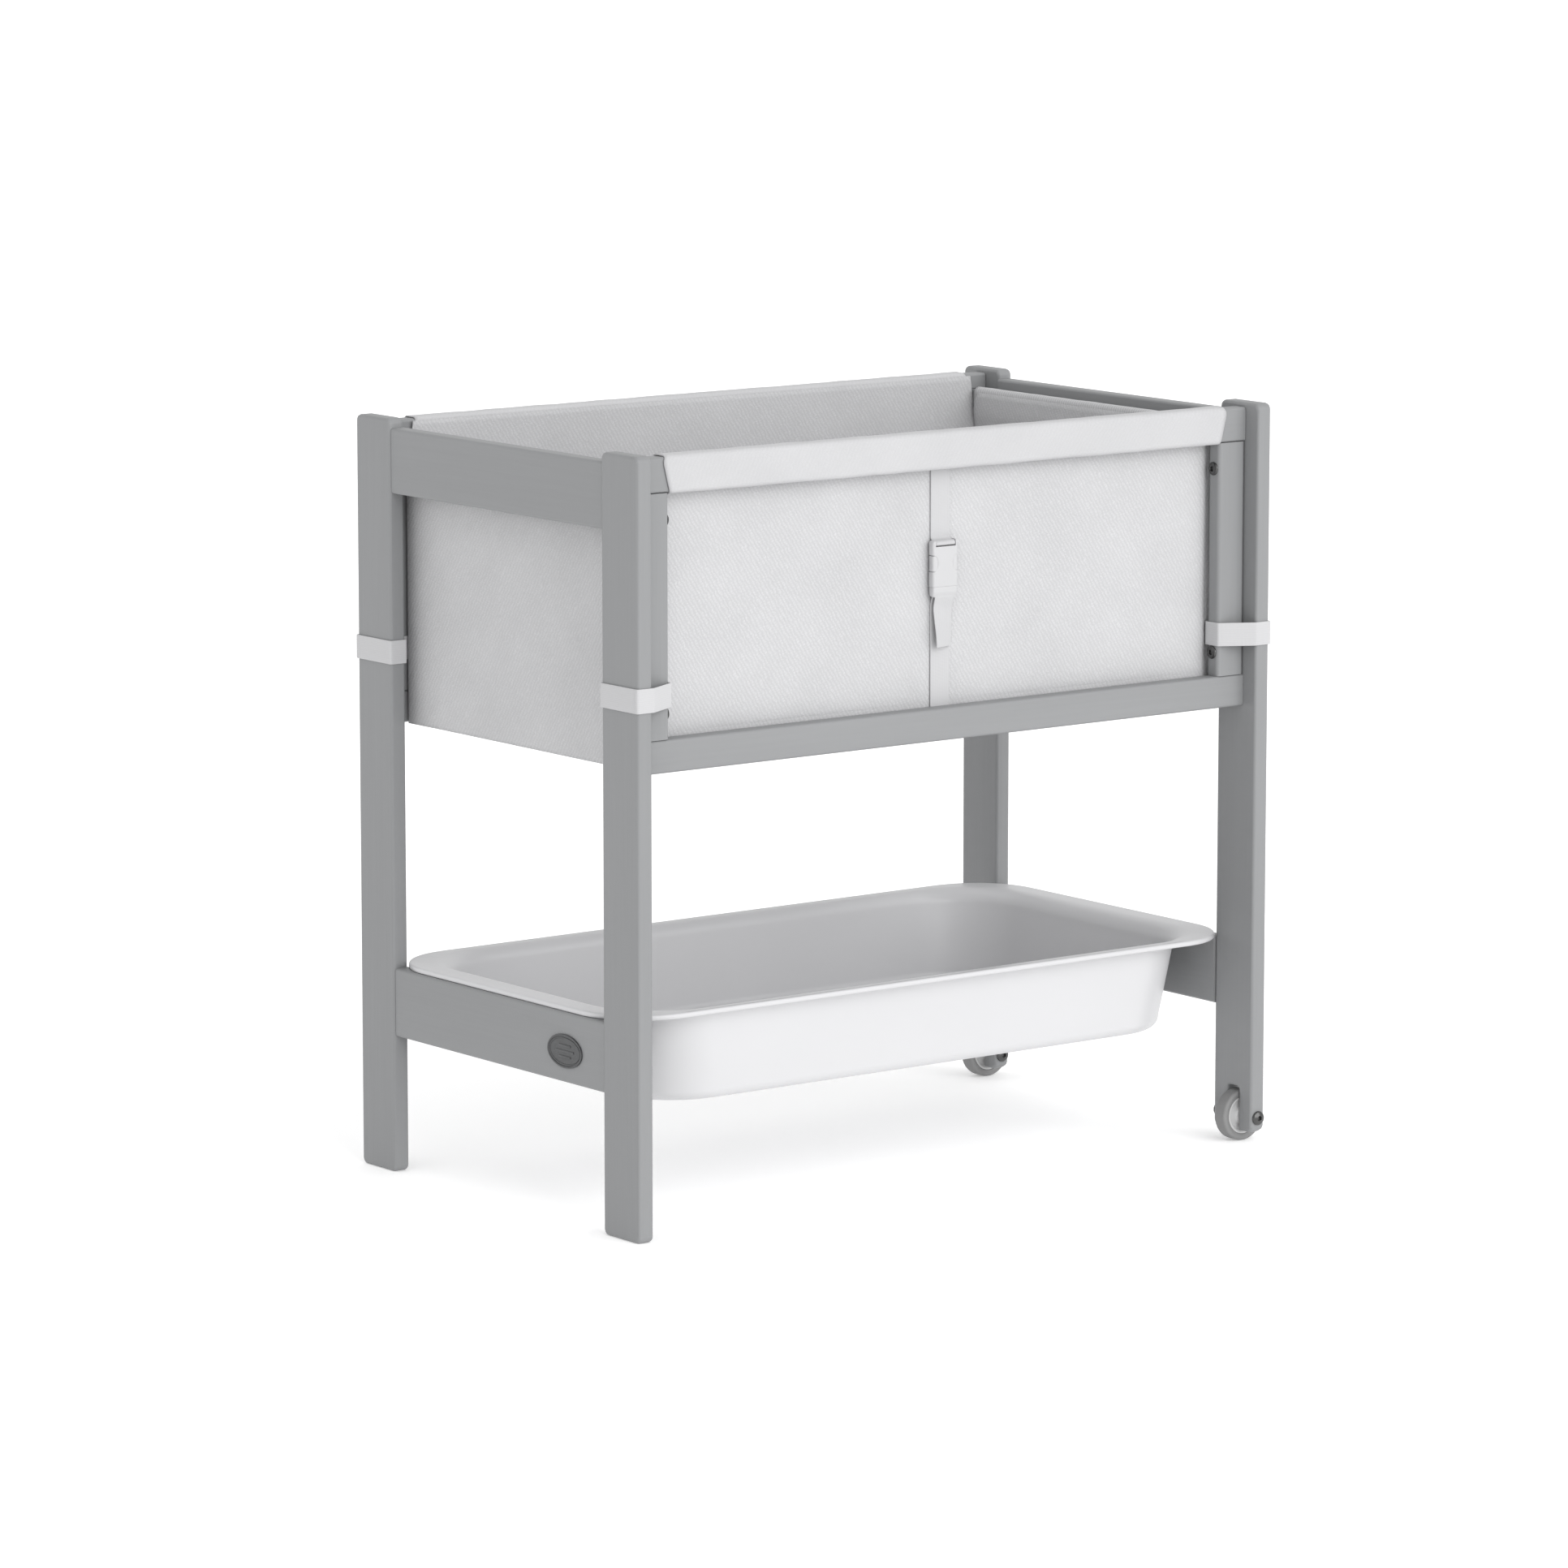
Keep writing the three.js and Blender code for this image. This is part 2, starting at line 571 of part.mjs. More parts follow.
function bucklePlug() {
  const { setBack, corner, edge, root } = PLUG;
  const half = BUCKLE.width / 2 - setBack;
  const { parting, bottom, outer, thick } = BUCKLE;
  const outline = roundedRect(-half, bottom, half, parting - GAP, corner);
  const base = alongY(outline, outer, outer + thick, edge);
  const near = BUCKLE_MIDDLE - TONGUE.thick / 2;
  const far = BUCKLE_MIDDLE + TONGUE.thick / 2;
  const tongue = box(-TONGUE.halfWidth, TONGUE.halfWidth, near, far, parting - root, TONGUE.top);
  return cut(join(base, tongue), strapSlot(bottom + STRAP_SLOT.fromBottom));
}

// One springy arm of the plug, drawn for +X, with the finger pad that shows in the socket's side.
function buckleArm(side) {
  const { inner, outer, pad, top, bendStart, bendEnd, tip } = ARM;
  const foot = BUCKLE.parting + GAP / 2;
  const outline = new THREE.Shape();
  outline.moveTo(inner, foot);
  outline.lineTo(outer, foot);
  outline.lineTo(outer, foot + bendStart);
  outline.quadraticCurveTo(pad, foot + bendStart + 2, pad, foot + bendEnd);
  outline.lineTo(pad, top - tip);
  outline.quadraticCurveTo(pad, top, pad - tip, top);
  outline.lineTo(inner, top - tip);
  const half = TONGUE.thick / 2;
  const arm = alongY(outline, BUCKLE_MIDDLE - half, BUCKLE_MIDDLE + half);
  return side < 0 ? arm.rotateZ(Math.PI).translate(0, 2 * BUCKLE_MIDDLE, 0) : arm;
}

function addBuckle() {
  place('buckle_socket', buckleSocket(), bucklePlastic);
  place('buckle_plug', bucklePlug(), bucklePlastic);
  for (const [endName, end] of ENDS) {
    place(`buckle_arm_${endName}`, buckleArm(end), bucklePlastic);
  }
}

// ---------------------------------------------------------------- tray

// One horizontal ring of the tray. "level" goes from 0 at the rim, past 1 at the mouth, to 2 at
// the base, and "inset" moves the ring inwards.
function trayRing(level, inset, z) {
  const [from, to] = level < 1 ? [TRAY.rim, TRAY.mouth] : [TRAY.mouth, TRAY.base];
  const t = level < 1 ? level : level - 1;
  const mix = (key) => THREE.MathUtils.lerp(from[key], to[key], t) - inset;
  const [x, y, radius] = [mix('x'), mix('y'), mix('corner')];
  const corners = [[1, 1], [-1, 1], [-1, -1], [1, -1]];
  return corners.flatMap(([signX, signY], corner) => {
    const arc = [];
    for (let step = 0; step <= TRAY.cornerSteps; step += 1) {
      const angle = (corner + step / TRAY.cornerSteps) * Math.PI / 2;
      const px = signX * (x - radius) + radius * Math.cos(angle);
      const py = signY * (y - radius) + radius * Math.sin(angle);
      arc.push(new THREE.Vector3(px, py, z));
    }
    return arc;
  });
}

// Rings from the edge of the floor up the inside, over the rim and down to the underside.
function trayRings() {
  const { bottom, wall, lip, lipDrop, flare, flareInside, flareUnder, rimRound, fillet } = TRAY;
  const rimTop = TRAY_REST + lip;
  const quarter = [0, 1 / 3, 2 / 3, 1].map((t) => t * Math.PI / 2);
  const inside = fillet - wall;
  const rings = quarter.map((angle) => {
    const rise = inside * (1 - Math.cos(angle));
    return trayRing(2, wall + inside * (1 - Math.sin(angle)), bottom + wall + rise);
  });
  quarter.forEach((angle) => {
    const rise = (flare + wall) * Math.sin(angle);
    const level = 1 - flareInside * (1 - Math.cos(angle));
    rings.push(trayRing(level, wall * Math.cos(angle), rimTop - flare - wall + rise));
  });
  rings.push(trayRing(rimRound, 0, rimTop));
  rings.push(trayRing(0, 0, rimTop - lipDrop));
  rings.push(trayRing(0, 0, TRAY_REST));
  [...quarter].reverse().forEach((angle) => {
    const level = 1 - flareUnder * (1 - Math.cos(angle));
    rings.push(trayRing(level, 0, TRAY_REST - flare + flare * Math.sin(angle)));
  });
  [...quarter].reverse().forEach((angle) => {
    const rise = fillet * (1 - Math.cos(angle));
    rings.push(trayRing(2, fillet * (1 - Math.sin(angle)), bottom + rise));
  });
  return rings;
}

// A closed skin over a stack of rings, with a flat cap on the first and the last.
function skin(rings) {
  const count = rings[0].length;
  const index = [];
  for (let ring = 0; ring + 1 < rings.length; ring += 1) {
    for (let i = 0; i < count; i += 1) {
      const a = ring * count + i;
      const b = ring * count + (i + 1) % count;
      index.push(a, a + count, b + count, a, b + count, b);
    }
  }
  const last = (rings.length - 1) * count;
  for (let i = 1; i + 1 < count; i += 1) {
    index.push(0, i, i + 1, last, last + i + 1, last + i);
  }
  const geometry = new THREE.BufferGeometry().setFromPoints(rings.flat());
  geometry.setIndex(index);
  geometry.computeVertexNormals();
  return geometry;
}

function addTray() {
  place('tray', skin(trayRings()), trayPlastic);
}

// ---------------------------------------------------------------- wheels

function tyre() {
  const { radius, width, hubRadius, shoulder, bevel } = WHEEL;
  const half = width / 2;
  const bore = hubRadius + GAP;
  const upper = [[radius, half - shoulder], [radius - bevel, half - bevel],
    [radius - shoulder, half], [bore, half]];
  const lower = upper.map(([r, h]) => [r, -h]).reverse();
  return revolve([...lower, ...upper, lower[0]], 32);
}

// A flat disc with a raised boss round the axle and a raised rim.
function hub() {
  const { setBack, recess, rimWidth, bossRadius, slope } = HUB;
  const face = WHEEL.width / 2 - setBack;
  const web = face - recess;
  const bore = AXLE.sleeveRadius + GAP;
  const rim = WHEEL.hubRadius - rimWidth;
  const half = [[bore, face], [bossRadius, face], [bossRadius + slope, web], [rim - slope, web],
    [rim, face], [WHEEL.hubRadius, face]];
  const mirrored = half.map(([r, h]) => [r, -h]);
  return revolve([...mirrored, ...half.reverse(), mirrored[0]], 28);
}

// The bolt's head sits on the leg's front face; the nut is a domed sleeve from the other side.
function axleBolt() {
  return hexBolt(AXLE.boltRadius, AXLE.boltLength, AXLE_HEAD).rotateZ(Math.PI / 2);
}

function axleNut() {
  const { sleeveRadius, boltRadius, nutLength, nutSolid } = AXLE;
  const bore = boltRadius + GAP;
  const sleeve = [[0, -nutSolid], [bore, -nutSolid], [bore, -nutLength], [sleeveRadius, -nutLength],
    [sleeveRadius, 0]];
  return revolve([...sleeve, ...domedHead(AXLE_HEAD)], 20);
}

function addWheels() {
  const face = LEG.width / 2 + GAP;
  for (const [sideName, side] of SIDES) {
    const y = side * LEG_Y;
    place(`tyre_${sideName}`, tyre(), tyreRubber, AXLE_X, y, WHEEL.radius);
    place(`hub_${sideName}`, hub(), hubPlastic, AXLE_X, y, WHEEL.radius);
    place(`axle_bolt_${sideName}`, axleBolt(), darkSteel, AXLE_X, y - face, WHEEL.radius);
    place(`axle_nut_${sideName}`, axleNut(), darkSteel, AXLE_X, y + face, WHEEL.radius);
  }
}

addLegs();
addEndRails();
addBadge();
addPosts();
addPostBolts();
addSideRails();
addEndBars();
addBaseSlats();
addBasket();
addCornerStraps();
addFrontStrap();
addBuckle();
addTray();
addWheels();

export default bassinet;
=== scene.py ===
"""A bassinet on a wooden stand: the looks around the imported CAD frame. Metres, +Z up."""

import math

import bmesh
import bpy
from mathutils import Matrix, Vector, noise


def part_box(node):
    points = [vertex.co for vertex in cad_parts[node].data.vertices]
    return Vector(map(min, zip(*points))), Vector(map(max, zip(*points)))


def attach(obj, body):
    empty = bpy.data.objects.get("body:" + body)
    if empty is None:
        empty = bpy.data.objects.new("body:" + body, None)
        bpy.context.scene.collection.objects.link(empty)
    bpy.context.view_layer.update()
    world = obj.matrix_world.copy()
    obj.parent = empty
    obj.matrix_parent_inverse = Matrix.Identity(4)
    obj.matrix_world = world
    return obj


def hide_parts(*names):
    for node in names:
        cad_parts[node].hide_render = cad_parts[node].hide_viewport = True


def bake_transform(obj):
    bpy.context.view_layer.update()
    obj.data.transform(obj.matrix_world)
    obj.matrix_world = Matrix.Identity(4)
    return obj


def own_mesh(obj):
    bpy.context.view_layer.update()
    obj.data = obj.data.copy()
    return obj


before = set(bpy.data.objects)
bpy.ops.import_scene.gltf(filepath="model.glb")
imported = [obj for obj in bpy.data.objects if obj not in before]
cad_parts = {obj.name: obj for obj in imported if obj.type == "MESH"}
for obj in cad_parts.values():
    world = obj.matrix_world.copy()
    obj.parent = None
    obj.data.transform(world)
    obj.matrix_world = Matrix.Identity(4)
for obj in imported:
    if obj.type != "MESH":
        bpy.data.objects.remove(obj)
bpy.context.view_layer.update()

TAU = 2 * math.pi

# ---------------------------------------------------------------- sizes (metres)

CLOTH = 0.0018                   # thickness of the basket's knit
SLEEVE_CLOTH = 0.0015
WEB = 0.0014                     # thickness of the webbing
TAIL_TWIST = math.radians(17)
GRID = 0.0055                    # usual mesh step on cloth

PANEL_CROWN = 0.0024             # how far each half of the front panel swells
PANEL_TURN = 0.0002              # its side edges turn in by this
TOUCH = 0.0001                   # air between cloth and wood that touch
FOLD_START, FOLD_END = 0.5095, 0.5165
WALL_CORNER = 0.005
WALL_OUT = 0.0034                # the end walls hang this far outside the bars' middles
WALL_LEVELS = 56
LAP = 0.004                      # the liner's front edges reach this far behind the panel
WALL_WAVE = 0.0007               # how deep the end walls' slanting waves are
HEM_SLACK = 0.0017               # from an end bar to the outside of its hem
HEM_ROUND = 0.0046

FLOOR_GLOW = 0.24                # the studio floor is lit from below

POST_HEAD = {"height": 0.003, "socket": 0.006, "shank": 0.003}
AXLE_HEAD = {"height": 0.004, "socket": 0.006, "shank": 0.0026}

TRAY = {
    "rim": (0.411, 0.219, 0.076),
    "mouth": (0.372, 0.201, 0.088),
    "base": (0.358, 0.194, 0.084),
    "bottom": 0.124,
    "wall": 0.003,
    "lip": 0.0055,
    "flare": 0.014,
    "fillet": 0.012,
    "least_corner": 0.006,
}

# ---------------------------------------------------------------- small maths


def smooth(low, high, value):
    """0 below low, 1 above high, and a soft step between them."""
    t = min(1.0, max(0.0, (value - low) / (high - low)))
    return t * t * (3 - 2 * t)


def mix(a, b, t):
    return a + (b - a) * t


def steps(low, high, size):
    """Evenly spaced values from low to high, about size apart."""
    count = max(1, round((high - low) / size))
    return [mix(low, high, i / count) for i in range(count + 1)]


def wrinkle(x, y, z, size, seed=0.0):
    """Smooth random waves of about the given size, from -1 to 1."""
    return noise.noise(Vector((x / size + seed, y / size, z / size)))


def rounded_rect(half_x, half_y, radius, arc_steps=6, side_steps=1):
    """Points round a rounded rectangle about the origin, anticlockwise from its right side."""
    points = []
    corners = [(1, 1), (-1, 1), (-1, -1), (1, -1)]
    for index, (sx, sy) in enumerate(corners):
        for step in range(arc_steps + 1):
            angle = (index + step / arc_steps) * math.pi / 2
            points.append((
                sx * (half_x - radius) + radius * math.cos(angle),
                sy * (half_y - radius) + radius * math.sin(angle),
            ))
        if side_steps > 1:
            nx, ny = corners[(index + 1) % 4]
            angle = (index + 1) * math.pi / 2
            start = points[-1]
            end = (nx * (half_x - radius) + radius * math.cos(angle),
                   ny * (half_y - radius) + radius * math.sin(angle))
            points += [(mix(start[0], end[0], i / side_steps), mix(start[1], end[1], i / side_steps))
                       for i in range(1, side_steps)]
    return points


def rounded_path(corners, radius, closed, spacing, arc_steps=5):
    """A path through corner points with round bends, its straight runs cut into short steps."""
    count = len(corners)
    bends = []
    for index in range(count):
        here = Vector(corners[index])
        if not closed and index in (0, count - 1):
            bends.append([here])
            continue
        before = Vector(corners[index - 1]) - here
        after = Vector(corners[(index + 1) % count]) - here
        turn = math.pi - before.angle(after)
        if turn < 1e-4:
            bends.append([here])
            continue
        reach = radius * math.tan(turn / 2)
        start = here + before.normalized() * reach
        end = here + after.normalized() * reach
        bend = []
        for step in range(arc_steps + 1):
            t = step / arc_steps
            inner = mix(start, here, t)
            outer = mix(here, end, t)
            bend.append(mix(inner, outer, t))
        bends.append(bend)
    path = []
    for index, bend in enumerate(bends):
        path += bend
        if index == count - 1 and not closed:
            break
        start, end = bend[-1], bends[(index + 1) % count][0]
        pieces = max(1, round((end - start).length / spacing))
        path += [mix(start, end, i / pieces) for i in range(1, pieces)]
    return path


# ---------------------------------------------------------------- mesh making


def lattice(name, rows, wrap_rows=False, wrap_points=True, caps=False, uvs=None):
    """A mesh of quads over rows of points. uvs gives a (u, v) in metres for each point."""
    count = len(rows[0])
    faces = []
    for i in range(len(rows) - (0 if wrap_rows else 1)):
        after = (i + 1) % len(rows)
        for j in range(count - (0 if wrap_points else 1)):
            k = (j + 1) % count
            faces.append((i * count + j, i * count + k, after * count + k, after * count + j))
    if caps:
        faces.append(tuple(reversed(range(count))))
        faces.append(tuple(range((len(rows) - 1) * count, len(rows) * count)))
    mesh = bpy.data.meshes.new(name)
    mesh.from_pydata([tuple(p) for row in rows for p in row], [], faces)
    if uvs:
        layer = mesh.uv_layers.new(name="cloth")
        flat = [uv for row in uvs for uv in row]
        for loop in mesh.loops:
            layer.data[loop.index].uv = flat[loop.vertex_index]
    mesh.polygons.foreach_set("use_smooth", [True] * len(mesh.polygons))
    mesh.update()
    thing = bpy.data.objects.new(name, mesh)
    bpy.context.scene.collection.objects.link(thing)
    return thing


def settle(thing, outwards=True):
    """Applies every modifier, so that the mesh is final."""
    bpy.context.view_layer.update()
    evaluated = thing.evaluated_get(bpy.context.evaluated_depsgraph_get())
    mesh = bpy.data.meshes.new_from_object(evaluated)
    thing.modifiers.clear()
    old = thing.data
    thing.data = mesh
    bpy.data.meshes.remove(old)
    mesh.name = thing.name
    if outwards:
        work = bmesh.new()
        work.from_mesh(mesh)
        bmesh.ops.recalc_face_normals(work, faces=work.faces)
        work.to_mesh(mesh)
        work.free()
    return thing


def modify(thing, kind, **settings):
    modifier = thing.modifiers.new(kind.lower(), kind)
    for key, value in settings.items():
        setattr(modifier, key, value)
    return modifier


def cloth(name, rows, uvs, thickness, offset=-1.0, wrap_points=False, wrap_rows=False):
    """A closed thin skin, made by thickening an open patch of points."""
    thing = lattice(name, rows, wrap_rows=wrap_rows, wrap_points=wrap_points, uvs=uvs)
    modify(thing, "SOLIDIFY", thickness=thickness, offset=offset, use_rim=True)
    return settle(thing)


def sharpen(thing, angle=math.radians(38)):
    """Smooth shading that breaks at edges steeper than the angle."""
    thing.data.polygons.foreach_set("use_smooth", [True] * len(thing.data.polygons))
    thing.data.set_sharp_from_angle(angle=angle)
    return thing


def lathe(name, profile, axis, centre, sides=64, closed=True):
    """A profile of (radius, height) points turned about the X, Y or Z axis through centre."""
    rows = []
    for i in range(sides):
        angle = TAU * i / sides
        row = []
        for radius, height in profile:
            a, b = radius * math.cos(angle), radius * math.sin(angle)
            spot = {"X": (height, a, b), "Y": (b, height, a), "Z": (a, b, height)}[axis]
            row.append(Vector(centre) + Vector(spot))
        rows.append(row)
    thing = lattice(name, rows, wrap_rows=True, wrap_points=closed)
    work = bmesh.new()
    work.from_mesh(thing.data)
    bmesh.ops.remove_doubles(work, verts=work.verts, dist=1e-6)
    bmesh.ops.recalc_face_normals(work, faces=work.faces)
    work.to_mesh(thing.data)
    work.free()
    return sharpen(thing)


def band(name, path, width, thickness, twist=0.0):
    """A flat strap as wide as X along a path, with rounded selvedges; a twist swings its left
    edge forwards towards the path's end."""
    half, thin = width / 2, thickness / 2
    section = rounded_rect(half, thin, thin * 0.95, 3, side_steps=6)
    rows, uvs, along = [], [], 0.0
    for index, point in enumerate(path):
        turn = twist * smooth(0.0, 1.0, index / (len(path) - 1))
        across = Vector((math.cos(turn), math.sin(turn), 0.0))
        here = Vector(point) + Vector((half, 0, 0)) - across * half
        before = Vector(path[max(0, index - 1)])
        after = Vector(path[min(len(path) - 1, index + 1)])
        normal = (after - before).normalized().cross(across).normalized()
        along += (here - before).length if index else 0.0
        rows.append([here + across * a + normal * b for a, b in section])
        uvs.append([(a, along) for a, _ in section])
    return sharpen(settle(lattice(name, rows, caps=True, uvs=uvs)), math.radians(60))


def spline(points, spacing):
    """A smooth path through the points (Catmull-Rom), cut into short steps."""
    spots = [Vector(p) for p in points]
    spots = [2 * spots[0] - spots[1], *spots, 2 * spots[-1] - spots[-2]]
    path = []
    for a, b, c, d in zip(spots, spots[1:], spots[2:], spots[3:]):
        count = max(2, round((c - b).length / spacing))
        for step in range(count):
            t = step / count
            path.append(0.5 * (2 * b + (c - a) * t + (2 * a - 5 * b + 4 * c - d) * t * t
                               + (3 * b - a - 3 * c + d) * t * t * t))
    return [*path, spots[-2]]


# ---------------------------------------------------------------- materials


class Recipe:
    """One material: a principled shader, and the nodes that drive its colour and bump."""

    def __init__(self, name, roughness, **settings):
        self.material = bpy.data.materials.new(name)
        self.material.use_nodes = True
        self.tree = self.material.node_tree
        self.tree.nodes.clear()
        self.shader = self.node("ShaderNodeBsdfPrincipled", Roughness=roughness, **settings)
        output = self.node("ShaderNodeOutputMaterial")
        self.tree.links.new(self.shader.outputs["BSDF"], output.inputs["Surface"])

    def node(self, kind, settings=None, **inputs):
        made = self.tree.nodes.new(kind)
        for key, value in (settings or {}).items():
            setattr(made, key, value)
        for key, value in inputs.items():
            self.feed(made.inputs[key.replace("_", " ")], value)
        return made

    def feed(self, socket, value):
        if isinstance(value, bpy.types.NodeSocket):
            self.tree.links.new(value, socket)
        else:
            socket.default_value = value

    def maths(self, operation, *values, clamp=False):
        made = self.node("ShaderNodeMath", {"operation": operation, "use_clamp": clamp})
        for socket, value in zip(made.inputs, values):
            self.feed(socket, value)
        return made.outputs[0]

    def dot(self, vector, weights):
        made = self.node("ShaderNodeVectorMath", {"operation": "DOT_PRODUCT"})
        self.feed(made.inputs[0], vector)
        made.inputs[1].default_value = weights
        return made.outputs["Value"]

    def place(self):
        return self.node("ShaderNodeTexCoord").outputs["Object"]

    def flat_place(self):
        return self.node("ShaderNodeUVMap", {"uv_map": "cloth"}).outputs["UV"]

    def stretched(self, vector, scale):
        return self.node("ShaderNodeMapping", Vector=vector, Scale=scale).outputs["Vector"]

    def noise(self, vector, scale, detail=2.0, roughness=0.5):
        made = self.node("ShaderNodeTexNoise", Vector=vector, Scale=scale, Detail=detail,
                         Roughness=roughness)
        return made.outputs["Fac"]

    def wave(self, phase):
        """A smooth ripple from 0 to 1; phase is in cycles."""
        sine = self.maths("SINE", self.maths("MULTIPLY", phase, TAU))
        return self.maths("MULTIPLY_ADD", sine, 0.5, 0.5)

    def tone(self, factor, dark, light):
        """Linear colours blended by a factor, fed to the base colour."""
        blend = self.node("ShaderNodeMix", {"data_type": "RGBA"})
        self.feed(blend.inputs["Factor"], factor)
        self.feed(blend.inputs["A"], dark)
        self.feed(blend.inputs["B"], light)
        self.feed(self.shader.inputs["Base Color"], blend.outputs["Result"])

    def bump(self, height, distance, strength=1.0):
        made = self.node("ShaderNodeBump", Height=height, Distance=distance, Strength=strength)
        self.feed(self.shader.inputs["Normal"], made.outputs["Normal"])

    def rough(self, factor, low, high):
        spread = self.node("ShaderNodeMapRange", To_Min=low, To_Max=high)
        self.feed(spread.inputs["Value"], factor)
        self.feed(self.shader.inputs["Roughness"], spread.outputs["Result"])


def grey(value, tint=(1.0, 1.0, 1.0)):
    """A linear colour from a display grey of 0 to 1, with a tint."""
    linear = value / 12.92 if value <= 0.04045 else ((value + 0.055) / 1.055) ** 2.4
    return (linear * tint[0], linear * tint[1], linear * tint[2], 1.0)


RIB_WAVE = (196.0, 126.0, 0.0)       # cycles per metre across the knit's slanted ribs
STITCH_WAVE = (-92.0, 359.0, 0.0)    # and along them, half a stitch out from rib to rib

COOL = (0.985, 1.0, 1.02)
NEUTRAL = (1.0, 1.0, 1.018)


def painted_wood(axis):
    """Grey wash over pine: faint streaks along the grain, soft patches and a fine grain relief."""
    recipe = Recipe(f"wood_paint_{axis.lower()}", 0.5, Specular_IOR_Level=0.35)
    place = recipe.place()
    along, across = 7.0, 260.0
    fine_scale = tuple(along if a == axis else across for a in "XYZ")
    broad_scale = tuple(1.6 if a == axis else 17.0 for a in "XYZ")
    streaks = recipe.noise(recipe.stretched(place, fine_scale), 1.0, 4.0, 0.6)
    patches = recipe.noise(recipe.stretched(place, broad_scale), 1.0, 3.0, 0.55)
    pores = recipe.noise(recipe.stretched(place, tuple(3.2 * s for s in fine_scale)), 1.0, 2.0)
    blend = recipe.maths("MULTIPLY_ADD", streaks, 0.45, recipe.maths("MULTIPLY", patches, 0.75))
    blend = recipe.maths("SUBTRACT", blend, 0.1, clamp=True)
    recipe.tone(blend, grey(0.511, COOL), grey(0.556, COOL))
    recipe.rough(patches, 0.42, 0.58)
    relief = recipe.maths("MULTIPLY_ADD", pores, 0.5, streaks)
    recipe.bump(relief, 0.00012, 0.45)
    return recipe.material


def knit(name, dark, light, rib_share=1.0, grain=1.0):
    """A pale knit: slanted ribs, each broken into short staggered stitches, and a napped face."""
    recipe = Recipe(name, 0.92, Sheen_Weight=0.1, Sheen_Roughness=0.5, Specular_IOR_Level=0.15)
    place = recipe.flat_place()
    wander = recipe.maths("SUBTRACT", recipe.noise(place, 150.0, 3.0, 0.6), 0.5)
    fuzz = recipe.noise(place, 520.0, 4.0, 0.8)
    blotch = recipe.noise(place, 120.0, 3.0, 0.6)
    shade = recipe.noise(place, 11.0, 3.0, 0.5)
    rib_phase = recipe.maths("MULTIPLY_ADD", wander, 1.7, recipe.dot(place, RIB_WAVE))
    stitch_phase = recipe.maths("MULTIPLY_ADD", wander, 2.4, recipe.dot(place, STITCH_WAVE))
    stitch = recipe.maths("MULTIPLY_ADD", recipe.wave(stitch_phase), 0.6, 0.4)
    rib = recipe.maths("MULTIPLY", recipe.wave(rib_phase), stitch)
    worn = recipe.maths("MULTIPLY", recipe.maths("MULTIPLY", blotch, 1.5, clamp=True), rib_share)
    height = recipe.maths("MULTIPLY", rib, worn)
    height = recipe.maths("MULTIPLY_ADD", fuzz, 1.1 * grain, height)
    tint = recipe.maths("MULTIPLY_ADD", height, 0.34, recipe.maths("MULTIPLY", shade, 0.3))
    recipe.tone(recipe.maths("ADD", tint, 0.08, clamp=True), dark, light)
    recipe.bump(height, 0.0006, 0.5)
    return recipe.material


def ribbed_binding(name, dark, light):
    """The knit pulled round an end bar, its ribs drawn out into short cross lines."""
    recipe = Recipe(name, 0.92, Sheen_Weight=0.1, Sheen_Roughness=0.5, Specular_IOR_Level=0.15)
    place = recipe.flat_place()
    wander = recipe.maths("SUBTRACT", recipe.noise(place, 60.0, 2.0), 0.5)
    ribs = recipe.wave(recipe.maths("MULTIPLY_ADD", wander, 0.7, recipe.dot(place, (270.0, 40.0, 0.0))))
    fuzz = recipe.noise(place, 640.0, 3.0, 0.7)
    height = recipe.maths("MULTIPLY_ADD", fuzz, 0.7, ribs)
    recipe.tone(recipe.maths("MULTIPLY", height, 0.6, clamp=True), dark, light)
    recipe.bump(height, 0.0005, 0.6)
    return recipe.material


def woven_tape(name, dark, light):
    """Webbing: fine cross ribs over lengthwise cords, a little fuzzy."""
    recipe = Recipe(name, 0.8, Sheen_Weight=0.1, Specular_IOR_Level=0.2)
    place = recipe.flat_place()
    ribs = recipe.wave(recipe.dot(place, (0.0, 900.0, 0.0)))
    cords = recipe.wave(recipe.dot(place, (520.0, 0.0, 0.0)))
    fuzz = recipe.noise(place, 700.0, 2.0)
    height = recipe.maths("MULTIPLY_ADD", cords, 0.6, ribs)
    height = recipe.maths("MULTIPLY_ADD", fuzz, 0.3, height)
    recipe.tone(recipe.maths("MULTIPLY", height, 0.55, clamp=True), dark, light)
    recipe.bump(height, 0.00014, 0.4)
    return recipe.material


def moulded(name, dark, light, roughness, grain_scale=420.0, grain=0.00004, **settings):
    """Moulded plastic: an even colour with the finest spark-eroded grain and faint flow marks."""
    recipe = Recipe(name, roughness, **settings)
    place = recipe.place()
    flow = recipe.noise(recipe.stretched(place, (3.0, 3.0, 7.0)), 1.0, 3.0, 0.5)
    fine = recipe.noise(place, grain_scale, 3.0, 0.6)
    recipe.tone(flow, dark, light)
    recipe.rough(fine, roughness * 0.85, roughness * 1.15)
    recipe.bump(fine, grain, 0.5)
    return recipe.material


def steel(name, dark, light, roughness):
    """Dark plated steel with light scratches and a little mottling."""
    recipe = Recipe(name, roughness, Metallic=0.85)
    place = recipe.place()
    scratches = recipe.noise(recipe.stretched(place, (900.0, 120.0, 900.0)), 1.0, 2.0)
    mottle = recipe.noise(place, 260.0, 3.0, 0.6)
    recipe.tone(mottle, dark, light)
    recipe.rough(scratches, roughness * 0.75, roughness * 1.35)
    recipe.bump(scratches, 0.00003, 0.4)
    return recipe.material


